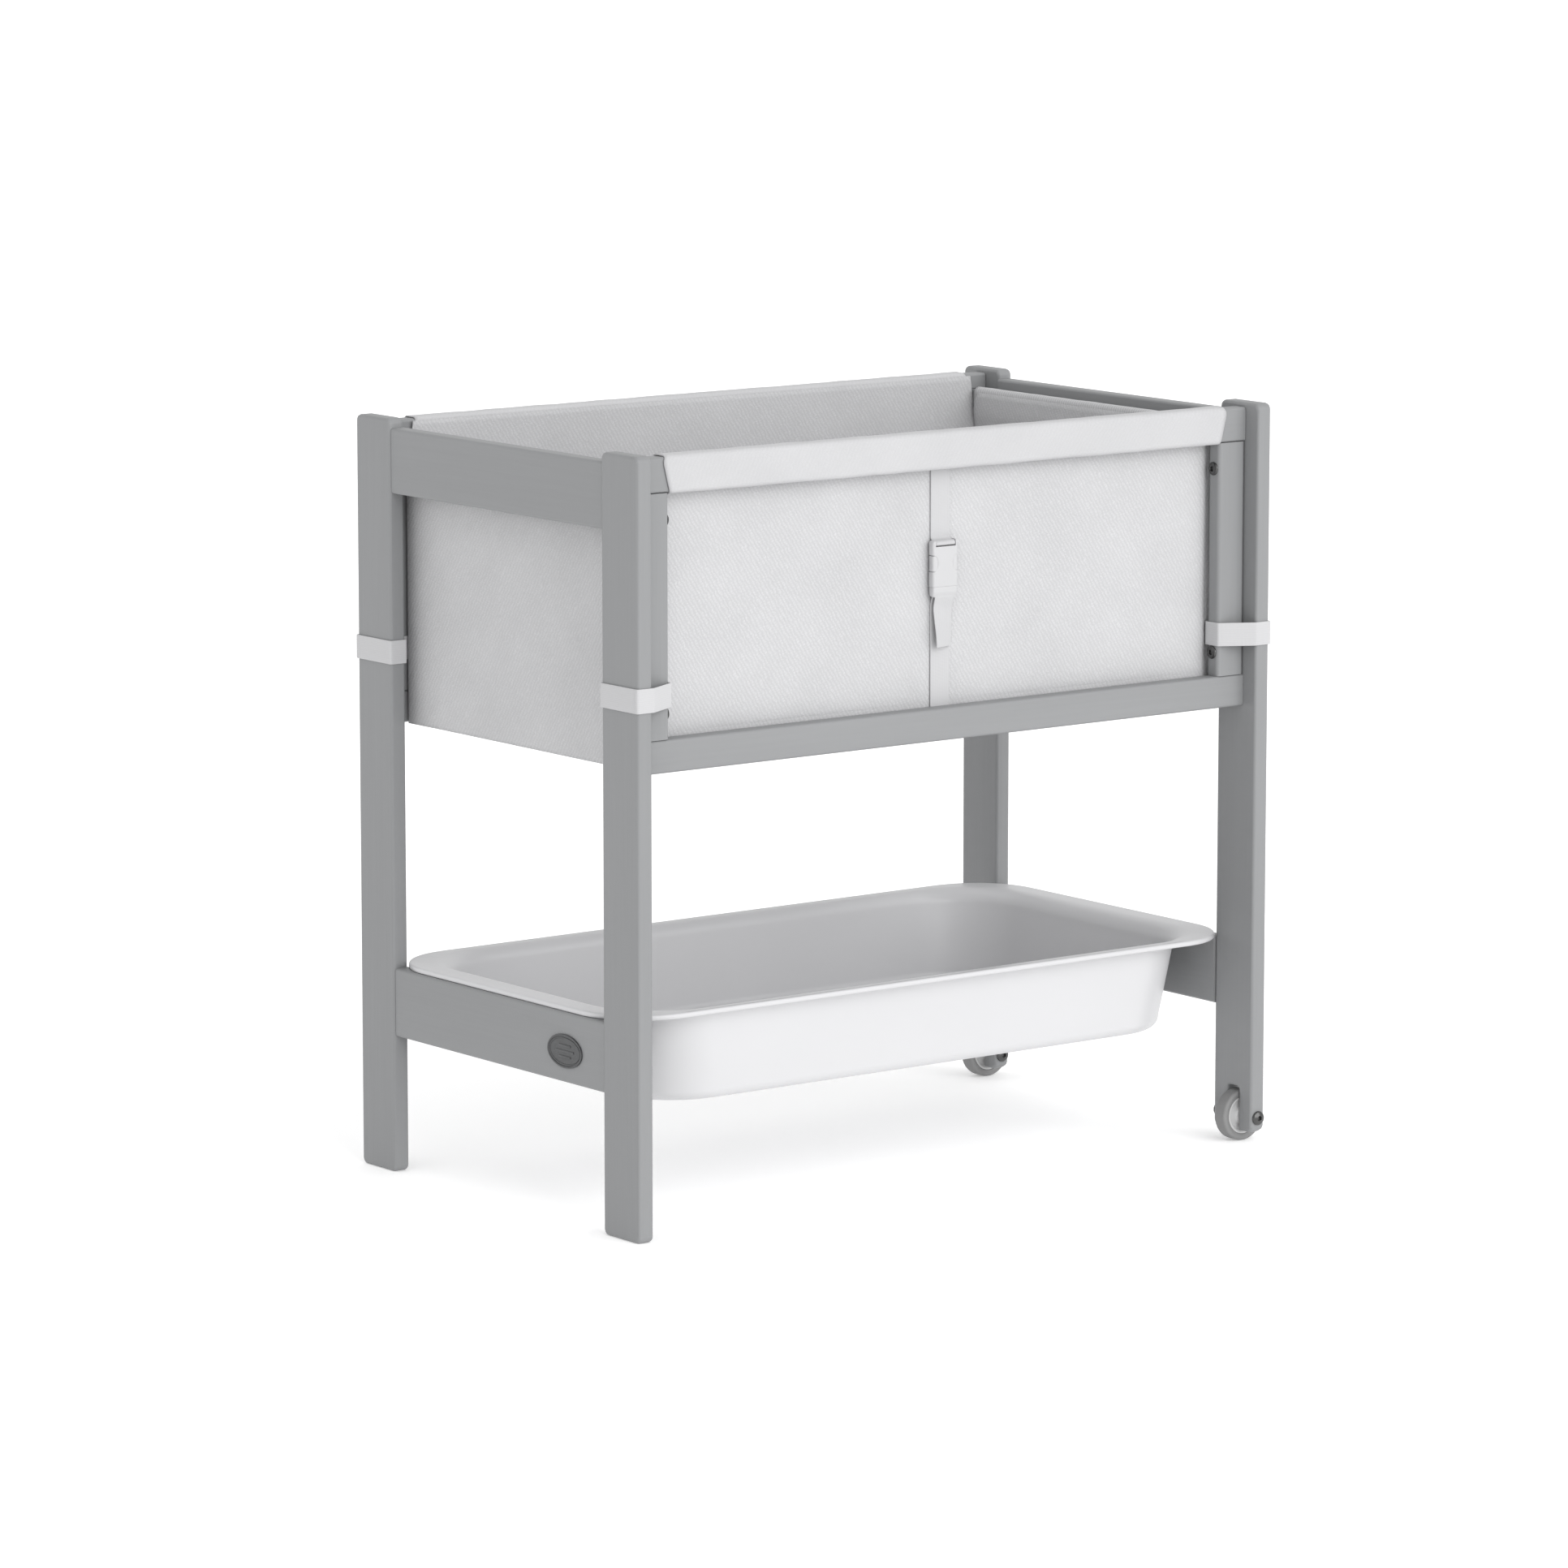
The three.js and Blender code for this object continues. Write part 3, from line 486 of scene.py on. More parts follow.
def plywood(name):
    """Bare birch ply: a warm face veneer with long grain."""
    recipe = Recipe(name, 0.7)
    place = recipe.place()
    grain = recipe.noise(recipe.stretched(place, (6.0, 190.0, 190.0)), 1.0, 5.0, 0.6)
    recipe.tone(grain, grey(0.66, (1.12, 1.0, 0.72)), grey(0.78, (1.08, 1.0, 0.78)))
    recipe.bump(grain, 0.0001, 0.5)
    return recipe.material


def quilted_cotton(name):
    """The mattress cover: a white plain weave."""
    recipe = Recipe(name, 0.95, Sheen_Weight=0.15, Specular_IOR_Level=0.15)
    place = recipe.place()
    warp = recipe.wave(recipe.dot(place, (1100.0, 0.0, 300.0)))
    weft = recipe.wave(recipe.dot(place, (0.0, 1100.0, 300.0)))
    slub = recipe.noise(recipe.stretched(place, (18.0, 300.0, 300.0)), 1.0, 3.0)
    height = recipe.maths("MULTIPLY_ADD", slub, 0.5, recipe.maths("ADD", warp, weft))
    recipe.tone(recipe.maths("MULTIPLY", height, 0.4, clamp=True), grey(0.86), grey(0.915))
    recipe.bump(height, 0.00015, 0.5)
    return recipe.material


WOOD = {axis: painted_wood(axis) for axis in "XYZ"}
KNIT = knit("knit_fabric", grey(0.632, NEUTRAL), grey(0.806, NEUTRAL))
SMOOTH_KNIT = knit("knit_smooth", grey(0.665, NEUTRAL), grey(0.800, NEUTRAL), 0.35, 0.8)
BINDING = ribbed_binding("knit_binding", grey(0.652, NEUTRAL), grey(0.767, NEUTRAL))
TAPE = woven_tape("webbing", grey(0.712, NEUTRAL), grey(0.748, NEUTRAL))
FRONT_TAPE = woven_tape("front_webbing", grey(0.700, NEUTRAL), grey(0.738, NEUTRAL))
BUCKLE_PLASTIC = moulded("buckle_plastic", grey(0.713, NEUTRAL), grey(0.732, NEUTRAL), 0.38)
TRAY_PLASTIC = moulded("tray_plastic", grey(0.768, NEUTRAL), grey(0.787, NEUTRAL), 0.34)
HUB_PLASTIC = moulded("hub_plastic", grey(0.736), grey(0.765), 0.45)
RUBBER = moulded("wheel_tyre", grey(0.471), grey(0.509), 0.6, 900.0, 0.00008)
STEEL = steel("dark_steel", grey(0.30), grey(0.38), 0.2)
BADGE_METAL = steel("badge_metal", grey(0.333, COOL), grey(0.389, COOL), 0.42)
PLY = plywood("ply_board")
COTTON = quilted_cotton("mattress_fabric")


def dress(thing, material):
    thing.data.materials.clear()
    thing.data.materials.append(material)
    return thing


def stand_for(thing, material, slot, body, *nodes):
    """Finishes a piece: its material, the body it rides on and the CAD nodes it stands for."""
    dress(thing, material)
    if body:
        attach(thing, body)
    if nodes:
        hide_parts(*nodes)
    return thing


# ---------------------------------------------------------------- camera, light and floor


def add_camera():
    data = bpy.data.cameras.new("camera")
    data.lens = 169.18
    data.sensor_width = 36.0
    camera = bpy.data.objects.new("camera", data)
    camera.location = (-4.7001, -6.1325, 1.6406)
    yaw, pitch = 0.6486, 0.1594
    camera.rotation_euler = (math.pi / 2 - pitch, 0.0, -yaw)
    bpy.context.scene.collection.objects.link(camera)
    bpy.context.scene.camera = camera


def add_sun(name, source, softness, strength):
    data = bpy.data.lights.new(name, "SUN")
    data.energy = strength
    data.angle = softness
    light = bpy.data.objects.new(name, data)
    light.rotation_euler = Vector(source).to_track_quat("Z", "Y").to_euler()
    bpy.context.scene.collection.objects.link(light)


def add_studio():
    scene = bpy.context.scene
    scene.view_settings.view_transform = "Standard"
    world = bpy.data.worlds.new("studio")
    scene.world = world
    world.use_nodes = True
    background = world.node_tree.nodes["Background"]
    background.inputs["Color"].default_value = (1.0, 1.0, 1.0, 1.0)
    background.inputs["Strength"].default_value = 0.93
    add_sun("key", (0.14, -1.0, 0.40), math.radians(58), 1.62)
    add_sun("glint", (-0.30, -1.0, 0.45), math.radians(9), 0.12)
    reach = 40.0
    floor = lattice("floor", [[(-reach, -reach, 0), (reach, -reach, 0)],
                              [(-reach, reach, 0), (reach, reach, 0)]], wrap_points=False)
    recipe = Recipe("studio_floor", 0.9, Specular_IOR_Level=0.1)
    recipe.tone(recipe.noise(recipe.place(), 3.0), grey(0.965), grey(0.975))
    recipe.shader.inputs["Emission Color"].default_value = (1.0, 1.0, 1.0, 1.0)
    recipe.shader.inputs["Emission Strength"].default_value = FLOOR_GLOW
    dress(floor, recipe.material)


# ---------------------------------------------------------------- carried-over CAD pieces


def rounding_group():
    """Joins the facets of a CAD solid and shades its small roundings smoothly."""
    group = bpy.data.node_groups.new("round_edges", "GeometryNodeTree")
    group.interface.new_socket("Geometry", in_out="INPUT", socket_type="NodeSocketGeometry")
    group.interface.new_socket("Geometry", in_out="OUTPUT", socket_type="NodeSocketGeometry")
    start = group.nodes.new("NodeGroupInput")
    merge = group.nodes.new("GeometryNodeMergeByDistance")
    merge.inputs["Distance"].default_value = 1e-5
    faces = group.nodes.new("GeometryNodeSetShadeSmooth")
    angle = group.nodes.new("GeometryNodeInputMeshEdgeAngle")
    soft = group.nodes.new("FunctionNodeCompare")
    soft.operation = "LESS_THAN"
    soft.inputs["B"].default_value = math.radians(52)
    edges = group.nodes.new("GeometryNodeSetShadeSmooth")
    edges.domain = "EDGE"
    finish = group.nodes.new("NodeGroupOutput")
    join = group.links.new
    join(start.outputs["Geometry"], merge.inputs["Geometry"])
    join(merge.outputs["Geometry"], faces.inputs["Geometry"])
    join(faces.outputs["Geometry"], edges.inputs["Geometry"])
    join(angle.outputs["Unsigned Angle"], soft.inputs["A"])
    join(soft.outputs["Result"], edges.inputs["Shade Smooth"])
    join(edges.outputs["Geometry"], finish.inputs["Geometry"])
    return group


def dress_wood():
    """Grain runs along each piece's longest side."""
    group = rounding_group()
    for name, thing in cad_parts.items():
        is_wood = name.startswith(("leg_", "post_front", "post_back", "base_slat", "end_bar"))
        if not (is_wood or name.endswith("_rail") or "_end_rail_" in name):
            continue
        low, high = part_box(name)
        size = high - low
        axis = "XYZ"[max(range(3), key=lambda i: size[i])]
        modifier = modify(thing, "NODES")
        modifier.node_group = group
        modify(thing, "WEIGHTED_NORMAL", keep_sharp=True)
        dress(thing, WOOD[axis])
    dress(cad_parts["base_board"], PLY)


# ---------------------------------------------------------------- basket cloth


def add_front_panel():
    """The drop side's cloth: each half swells a little beside the strap that holds it flat."""
    low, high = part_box("front_panel")
    left, right = front_opening()
    half, middle = (right - left) / 2 - TOUCH, (left + right) / 2
    strap = 0.0135
    fold = steps(FOLD_START - 0.002, FOLD_END + 0.0015, 0.0007)
    levels = fold + steps(fold[-1], high.z + 0.0055, GRID)[1:]
    rows, uvs = [], []
    for z in levels:
        rise = (z - low.z) / (high.z - low.z)
        dome = math.sin(math.pi * min(1.0, max(0.0, rise))) ** 0.45 if 0 < rise < 1 else 0.0
        row, flat = [], []
        for x in steps(-half, half, GRID):
            beside = max(0.0, (abs(x) - strap) / (half - strap))
            crown = PANEL_CROWN * dome * math.sin(math.pi * beside) ** 0.55 if beside else 0.0
            turn = PANEL_TURN * (1 - smooth(0.0, 0.006, half - abs(x)))
            ripple = 0.0005 * wrinkle(x, 0, z * 0.35, 0.045, 3.1) * dome * smooth(0, 0.3, beside)
            row.append((middle + x, low.y - crown + turn + ripple, z))
            flat.append((x, z))
        rows.append(row)
        uvs.append(flat)
    panel = cloth("front_panel_cloth", rows, uvs, CLOTH, offset=-1.0)
    dress(panel, KNIT)
    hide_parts("front_panel")
    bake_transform(panel)


def front_opening():
    """The inner faces of the two front posts."""
    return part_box("post_front_left")[1].x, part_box("post_front_right")[0].x


def wall_height(point, box, middle, bottoms, tops):
    """The wall's lowest and highest point above a place on its path."""
    low, high = box
    end_gap = (high.x - low.x) / 2 - abs(point.x - middle)
    side_gap = min(high.y - point.y, point.y - low.y)
    on_end = smooth(0.0075, 0.0125, side_gap)
    on_back = smooth(0.0065, 0.0105, end_gap) if point.y > 0 else 0.0
    bottom = mix(bottoms["end"], bottoms["back"], on_back)
    top = tops["corner"] + (tops["end"] - tops["corner"]) * on_end
    top += (tops["back"] - top) * on_back
    return bottom, top


def add_liner_wall():
    """The ends, the back and two short front returns, hung from the end bars and the back rail."""
    low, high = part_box("liner")
    bar_low, bar_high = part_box("end_bar_right")
    # the liner's box is as wide as its hems; the walls hang under the bars' outer halves
    right = (bar_low.x + bar_high.x) / 2 + WALL_OUT
    middle = (low.x + high.x) / 2
    left = 2 * middle - right
    shift = right - bar_low.x + HEM_SLACK + 0.0002
    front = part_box("front_panel")[1].y + 0.0002
    box = Vector((left, front, 0)), Vector((right, high.y, 0))
    slat_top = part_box("base_slat_1")[1].z
    bottoms = {"end": low.z, "back": slat_top + 0.0003}
    tops = {
        "corner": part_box("front_panel")[1].z,
        "end": bar_high.z + HEM_SLACK - HEM_ROUND,
        "back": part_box("back_sleeve")[1].z - 0.0035,
    }
    opening = front_opening()
    corners = [(opening[0] + LAP, front), (left, front), (left, high.y),
               (right, high.y), (right, front), (opening[1] - LAP, front)]
    path = rounded_path([Vector(c) for c in corners], WALL_CORNER, False, GRID, arc_steps=5)
    lengths = [0.0]
    for before, after in zip(path, path[1:]):
        lengths.append(lengths[-1] + (after - before).length)
    rows, uvs = [], []
    for level in range(WALL_LEVELS + 1):
        rise = level / WALL_LEVELS
        row, flat = [], []
        for index, point in enumerate(path):
            ahead = path[min(index + 1, len(path) - 1)] - path[max(index - 1, 0)]
            inwards = Vector((ahead.y, -ahead.x)).normalized()
            bottom, top = wall_height(point, box, middle, bottoms, tops)
            z = mix(bottom, top, rise)
            is_end = abs(inwards.x) ** 6
            gap = min(high.y - point.y, point.y - front)
            clear = smooth(0.0, 0.008, gap) if is_end > 0.5 else 0.0
            lean = shift * smooth(bar_low.z - 0.045, bar_low.z - 0.002, z) * clear * is_end
            spread = smooth(0.0, 0.06, gap) * is_end
            spread *= 1 - smooth(bar_low.z - 0.06, bar_low.z - 0.01, z)
            slant = wrinkle(point.y + z, (point.y - z) * 0.45, point.x, 0.021, 7.7)
            depth = WALL_WAVE * (1 + slant) * spread + TOUCH
            row.append((point.x + inwards.x * (depth + lean), point.y + inwards.y * depth, z))
            flat.append((lengths[index], z))
        rows.append(row)
        uvs.append(flat)
    wall = cloth("liner_wall", rows, uvs, CLOTH, offset=1.0)
    stand_for(wall, KNIT, "knit_fabric", "stand", "liner")


def add_liner_floor():
    low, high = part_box("base_board")
    middle = (low.x + high.x) / 2
    slat_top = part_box("base_slat_1")[1].z
    slats = [sum(corner.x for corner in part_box(f"base_slat_{i}")) / 2 for i in (1, 2, 3)]
    margin = 0.0085
    rows, uvs = [], []
    for y in steps(low.y - margin + 0.003, high.y + margin - 0.001, 0.012):
        row = []
        for x in steps(low.x - margin, high.x + margin, 0.008):
            free = min(abs(x - slat) for slat in slats)
            edge = min(high.x - middle - abs(x - middle), high.y - abs(y))
            inside = smooth(0.0, 0.05, edge + margin)
            sag = 0.0018 * smooth(0.028, 0.09, free) * inside
            row.append((x, y, slat_top + 0.0004 - sag))
        rows.append(row)
        uvs.append([(p[0], p[1]) for p in row])
    floor = cloth("liner_floor", rows, uvs, 0.0014, offset=1.0)
    stand_for(floor, KNIT, "knit_fabric", "stand")


def add_liner_lip():
    """The low front edge of the liner, behind the front low rail."""
    panel_low, panel_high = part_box("front_panel")
    slat_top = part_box("base_slat_1")[1].z
    y = panel_low.y + 0.0022
    rows, uvs = [], []
    for z in steps(slat_top + 0.0003, FOLD_START + 0.001, 0.003):
        row = [(x, y, z) for x in steps(panel_low.x + 0.004, panel_high.x - 0.004, 0.01)]
        rows.append(row)
        uvs.append([(p[0], p[2]) for p in row])
    lip = cloth("liner_lip", rows, uvs, 0.0013, offset=-1.0)
    stand_for(lip, KNIT, "knit_fabric", "stand")


def tube_rows(section, along, place, ripple):
    """Rows round a section, one for each station along a tube, with the cloth's own waves."""
    rows, uvs = [], []
    girth = [0.0]
    looped = [*section, section[0]]
    for a, b in zip(looped, looped[1:]):
        girth.append(girth[-1] + math.dist(a, b))
    for station in along:
        row, flat = [], []
        for index, (a, b) in enumerate(section):
            swell = 1 + ripple * wrinkle(station, a * 2, b * 2, 0.028, 5.3)
            row.append(place(station, a * swell, b * swell))
            flat.append((station, girth[index]))
        rows.append(row)
        uvs.append(flat)
    return rows, uvs


def add_end_hems():
    """The stitched tube at each end of the basket, round its end bar."""
    for end in ("left", "right"):
        low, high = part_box(f"end_bar_{end}")
        x, z = (low.x + high.x) / 2, (low.z + high.z) / 2
        half_x, half_z = (high.x - low.x) / 2 + HEM_SLACK, (high.z - low.z) / 2 + HEM_SLACK
        reach = 0.2005
        section = rounded_rect(half_x, half_z, HEM_ROUND, 6, side_steps=5)
        rows, uvs = tube_rows(section, steps(-reach, reach, 0.005),
                              lambda y, a, b: (x + a, y, z + b), 0.03)
        hem = cloth(f"end_hem_{end}", rows, uvs, 0.0013, offset=-1.0, wrap_points=True)
        stand_for(hem, BINDING, "knit_fabric", "stand")


def add_sleeves():
    """A cloth tube round each top rail, its ends cut on a slant so that it is longer on top."""
    for side, body in (("front", "drop_side"), ("back", "stand")):
        low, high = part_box(f"{side}_sleeve")
        middle = (low + high) / 2
        size = high - low
        slant = 0.010 / size.z
        section = rounded_rect(size.y / 2, size.z / 2, 0.0052, 6, side_steps=8)

        def place(x, a, b, middle=middle, size=size):
            reach = size.x / 2
            shorten = slant * (size.z / 2 - b)
            curl = 0.004 * smooth(size.z * 0.3, size.z * 0.5, b)
            span = 1 - (shorten + curl) / reach
            return (middle.x + x * span, middle.y + a, middle.z + b)

        rows, uvs = tube_rows(section, steps(-size.x / 2, size.x / 2, 0.005), place, 0.022)
        sleeve = cloth(f"{side}_sleeve_cloth", rows, uvs, SLEEVE_CLOTH * 0.85, offset=-1.0,
                       wrap_points=True)
        stand_for(sleeve, SMOOTH_KNIT, "knit_fabric", body, f"{side}_sleeve")


# ---------------------------------------------------------------- mattress


def soft_block(name, low, high, corner, edge):
    """A rounded slab, the shape that the mattress's foam is cut to."""
    middle = (low + high) / 2
    size = high - low
    rows = []
    profile = [(edge * (1 - math.sin(t)), edge * (1 - math.cos(t)))
               for t in (i * math.pi / 8 for i in range(5))]
    rings = [(inset, low.z + rise) for inset, rise in profile]
    rings += [(inset, high.z - rise) for inset, rise in reversed(profile)]
    for inset, z in rings:
        outline = rounded_rect(size.x / 2 - inset, size.y / 2 - inset, corner - inset * 0.5, 8, 10)
        rows.append([(middle.x + x, middle.y + y, z) for x, y in outline])
    return lattice(name, rows, caps=True)


def swell(thing, voxel, pressure, cap):
    """Puffs a closed shape by a short cloth simulation; no point moves further than the cap."""
    modify(thing, "REMESH", mode="VOXEL", voxel_size=voxel)
    settle(thing)
    rest = [v.co.copy() for v in thing.data.vertices]
    modifier = modify(thing, "CLOTH")
    modifier.settings.quality = 5
    modifier.settings.mass = 0.3
    modifier.settings.use_pressure = True
    modifier.settings.uniform_pressure_force = pressure
    modifier.settings.tension_stiffness = 22
    modifier.settings.compression_stiffness = 22
    modifier.settings.effector_weights.gravity = 0.0
    scene = bpy.context.scene
    for step in range(1, 21):
        scene.frame_set(step)
    settle(thing)
    scene.frame_set(1)
    for vertex, start in zip(thing.data.vertices, rest):
        move = vertex.co - start
        if move.length > cap:
            vertex.co = start + move.normalized() * cap
    return thing


def add_mattress():
    low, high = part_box("mattress")
    inset = Vector((0.004, 0.004, 0.003))
    pad = soft_block("mattress_pad", low + inset, high - inset, 0.030, 0.010)
    swell(pad, 0.006, 3.0, 0.006)
    bottom, top = low.z + 0.0002, high.z + 0.004
    for vertex in pad.data.vertices:
        vertex.co.z = min(max(vertex.co.z, bottom), top)
    modify(pad, "SUBSURF", levels=1, render_levels=1)
    settle(pad)
    pad.data.polygons.foreach_set("use_smooth", [True] * len(pad.data.polygons))
    stand_for(pad, COTTON, "mattress_fabric", "stand", "mattress")
    add_piping(low, high)


def add_piping(low, high):
    """A thin corded seam round the mattress, near its top and bottom faces."""
    middle, size = (low + high) / 2, high - low
    radius = 0.0016
    for level, z in (("top", high.z - 0.006), ("bottom", low.z + 0.0075)):
        outline = rounded_rect(size.x / 2 - 0.0012, size.y / 2 - 0.0012, 0.031, 10, 60)
        rows, uvs, along = [], [], 0.0
        for index, (x, y) in enumerate(outline):
            ahead = Vector(outline[(index + 1) % len(outline)]) - Vector(outline[index - 1])
            out = Vector((ahead.y, -ahead.x)).normalized()
            ring = []
            for step in range(8):
                angle = TAU * step / 8
                reach = radius * math.cos(angle)
                ring.append((middle.x + x + out.x * reach, middle.y + y + out.y * reach,
                             z + radius * math.sin(angle)))
            rows.append(ring)
            uvs.append([(step * 0.001, along) for step in range(8)])
            along += ahead.length / 2
        piping = settle(lattice(f"mattress_piping_{level}", rows, wrap_rows=True, uvs=uvs))
        stand_for(piping, TAPE, "mattress_fabric", "stand")


# ---------------------------------------------------------------- straps


def add_corner_straps():
    """A loop of webbing round each leg and the post beside it."""
    for end in ("left", "right"):
        for side in ("front", "back"):
            node = f"corner_strap_{side}_{end}"
            low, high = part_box(node)
            post_low, post_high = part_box(f"post_{side}_{end}")
            leg_low, leg_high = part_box(f"leg_{side}_{end}")
            sign_x = -1 if end == "left" else 1
            sign_y = -1 if side == "front" else 1
            off = 0.0003 + WEB / 2
            leg_out = (leg_high.x if sign_x > 0 else -leg_low.x) + off
            leg_in = (leg_low.x if sign_x > 0 else -leg_high.x) - off
            post_in = (post_low.x if sign_x > 0 else -post_high.x) - off
            post_out = (post_high.y if sign_y > 0 else -post_low.y) + off
            post_back = (post_low.y if sign_y > 0 else -post_high.y) - off
            leg_front = (leg_high.y if sign_y > 0 else -leg_low.y) + off
            leg_back = (leg_low.y if sign_y > 0 else -leg_high.y) - off
            corners = [(leg_out, leg_front), (leg_in, leg_front), (post_in, post_out),
                       (post_in, post_back), (leg_in, post_back), (leg_in, leg_back),
                       (leg_out, leg_back)]
            corners = [Vector((sign_x * x, sign_y * y, 0)) for x, y in corners]
            path = rounded_path(corners, 0.0022, True, 0.004, arc_steps=4)
            strap = strap_loop(f"{node}_tape", path, low.z, high.z)
            stand_for(strap, TAPE, "webbing", "stand", node)


def strap_loop(name, path, bottom, top):
    """A closed band round a level path, with rounded selvedges."""
    half, thin = (top - bottom) / 2, WEB / 2
    section = rounded_rect(half, thin, thin * 0.95, 3, side_steps=6)
    rows, uvs, along = [], [], 0.0
    for index, here in enumerate(path):
        before, after = path[index - 1], path[(index + 1) % len(path)]
        ahead = (after - before).normalized()
        out = Vector((ahead.y, -ahead.x, 0))
        rows.append([here + out * b + Vector((0, 0, (bottom + top) / 2 + a)) for a, b in section])
        uvs.append([(a, along) for a, _ in section])
        along += (after - here).length
    return settle(lattice(name, rows, wrap_rows=True, uvs=uvs))


def add_front_straps():
    upper_low, upper_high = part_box("strap_upper")
    x, plane = (upper_low.x + upper_high.x) / 2, (upper_low.y + upper_high.y) / 2
    width = upper_high.x - upper_low.x
    socket_low, socket_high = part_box("buckle_socket")
    face, top = socket_low.y + WEB / 2, socket_high.z
    upper = spline([
        (x, plane, upper_high.z + 0.001), (x, plane, top + 0.040), (x, plane, top + 0.008),
        (x, plane - 0.0002, top + 0.0022), (x, plane - 0.0016, top - 0.0002),
        (x, plane - 0.0046, top - 0.0012), (x, plane - 0.0074, top - 0.0016),
        (x, face + 0.0004, top - 0.0028), (x, face + 0.0001, top - 0.0042),
        (x, face + 0.0010, top - 0.0054), (x, face + 0.0036, top - 0.0058),
    ], 0.0012)
    strap = band("strap_upper_tape", upper, width, WEB)
    stand_for(strap, FRONT_TAPE, "webbing", "drop_side", "strap_upper")

    plug_low, plug_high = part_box("buckle_plug")
    deep = (plug_low.y + plug_high.y) / 2
    bottom, fold = plug_low.z, FOLD_END
    lower = spline([
        (x, plane, fold), (x, plane, 0.56), (x, plane, bottom - 0.012),
        (x, plane - 0.0012, bottom - 0.004), (x, deep + 0.0012, bottom + 0.0035),
    ], 0.003)
    strap = band("strap_lower_tape", lower, width, WEB)
    stand_for(strap, FRONT_TAPE, "webbing", "drop_side", "strap_lower")
    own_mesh(strap)

    foot = [Vector((x, plane, z)) for z in steps(FOLD_START - 0.003, fold, 0.0006)]
    strap = band("strap_foot_tape", foot, width, WEB)
    dress(strap, FRONT_TAPE)
    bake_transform(strap)

    tail_low, tail_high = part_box("strap_tail")
    near = plane - WEB - 0.0012
    tail = spline([
        (x, deep - 0.0022, tail_high.z + 0.0065), (x, deep - 0.0016, tail_high.z + 0.001),
        (x, near - 0.0008, tail_high.z - 0.010), (x, near, tail_high.z - 0.024),
        (x, near + 0.0002, tail_low.z),
    ], 0.003)
    strap = band("strap_tail_tape", tail, width, WEB, TAIL_TWIST)
    stand_for(strap, FRONT_TAPE, "webbing", "plug", "strap_tail")


# ---------------------------------------------------------------- buckle


def slab(name, stations, middle, corner_steps=5):
    """A moulded body lofted up Z: each station is (z, half width, half thickness, corner)."""
    rows = []
    for z, half, thin, corner in stations:
        outline = rounded_rect(half, thin, min(corner, half * 0.98, thin * 0.98), corner_steps, 4)
        rows.append([(middle.x + x, middle.y + y, z) for x, y in outline])
    return lattice(name, rows, caps=True)


def carve(thing, cutter):
    """Cuts one closed mesh out of another."""
    modify(thing, "BOOLEAN", operation="DIFFERENCE", solver="EXACT", object=cutter)
    settle(thing)
    bpy.data.objects.remove(cutter)
    return sharpen(thing)


def add_buckle():
    low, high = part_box("buckle_socket")
    middle = (low + high) / 2
    half, thin = (high.x - low.x) / 2, (high.y - low.y) / 2
    bite_z, bite_radius, bite_out = low.z + 0.0245, 0.0098, half + 0.0038
    stations = []
    for z in steps(low.z, high.z, 0.0009):
        from_top, from_bottom = high.z - z, z - low.z
        wide = half
        reach = bite_radius ** 2 - (z - bite_z) ** 2
        if reach > 0:
            wide = min(wide, bite_out - math.sqrt(reach))
        wide -= 0.0036 * (1 - math.sqrt(max(0.0, 1 - max(0.0, 1 - from_top / 0.0036) ** 2)))
        wide -= 0.0003 * (1 - smooth(0.0, 0.0009, from_bottom))
        depth = thin - 0.0004 * (1 - smooth(0.0, 0.0011, from_bottom))
        depth -= 0.0012 * (1 - smooth(0.0, 0.0024, from_top))
        stations.append((z, wide, depth, 0.0026))
    socket = slab("buckle_socket_shell", stations, middle)
    carve(socket, slab("slot_cutter", [(high.z - 0.0071, 0.0131, 0.01, 0.001),
                                       (high.z - 0.0046, 0.0131, 0.01, 0.001)], middle))
    seat = Vector((middle.x, low.y, 0))
    carve(socket, slab("seat_cutter", [(high.z - 0.0058, 0.0130, 0.0016, 0.0004),
                                       (high.z + 0.0010, 0.0130, 0.0016, 0.0004)], seat))
    carve(socket, slab("notch_cutter", [(high.z - 0.0026, 0.0130, 0.01, 0.001),
                                        (high.z + 0.0010, 0.0130, 0.01, 0.001)], middle))
    stand_for(socket, BUCKLE_PLASTIC, "buckle_plastic", "drop_side", "buckle_socket")

    plug_low, plug_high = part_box("buckle_plug")
    base_top = low.z - 0.0001
    stations = []
    for z in steps(plug_low.z, base_top, 0.0009):
        from_top, from_bottom = base_top - z, z - plug_low.z
        wide = half - 0.0004
        wide -= 0.0034 * (1 - math.sqrt(max(0.0, 1 - max(0.0, 1 - from_bottom / 0.0034) ** 2)))
        wide -= 0.0003 * (1 - smooth(0.0, 0.0009, from_top))
        depth = mix(0.0026, thin - 0.0002, smooth(0.0, 0.006, from_bottom))
        depth -= 0.0003 * (1 - smooth(0.0, 0.001, from_top))
        stations.append((z, wide, depth, 0.0024))
    tongue = [(base_top + 0.0001, 0.0052, 0.0023, 0.001), (plug_high.z, 0.0048, 0.0023, 0.001)]
    plug = slab("buckle_plug_base", stations, middle)
    sharpen(plug)
    stand_for(plug, BUCKLE_PLASTIC, "buckle_plastic", "plug", "buckle_plug")
    rod = sharpen(slab("buckle_plug_tongue", tongue, middle))
    stand_for(rod, BUCKLE_PLASTIC, "buckle_plastic", "plug")

    for end, sign in (("left", -1), ("right", 1)):
        add_buckle_arm(end, sign, middle, half, bite_z)


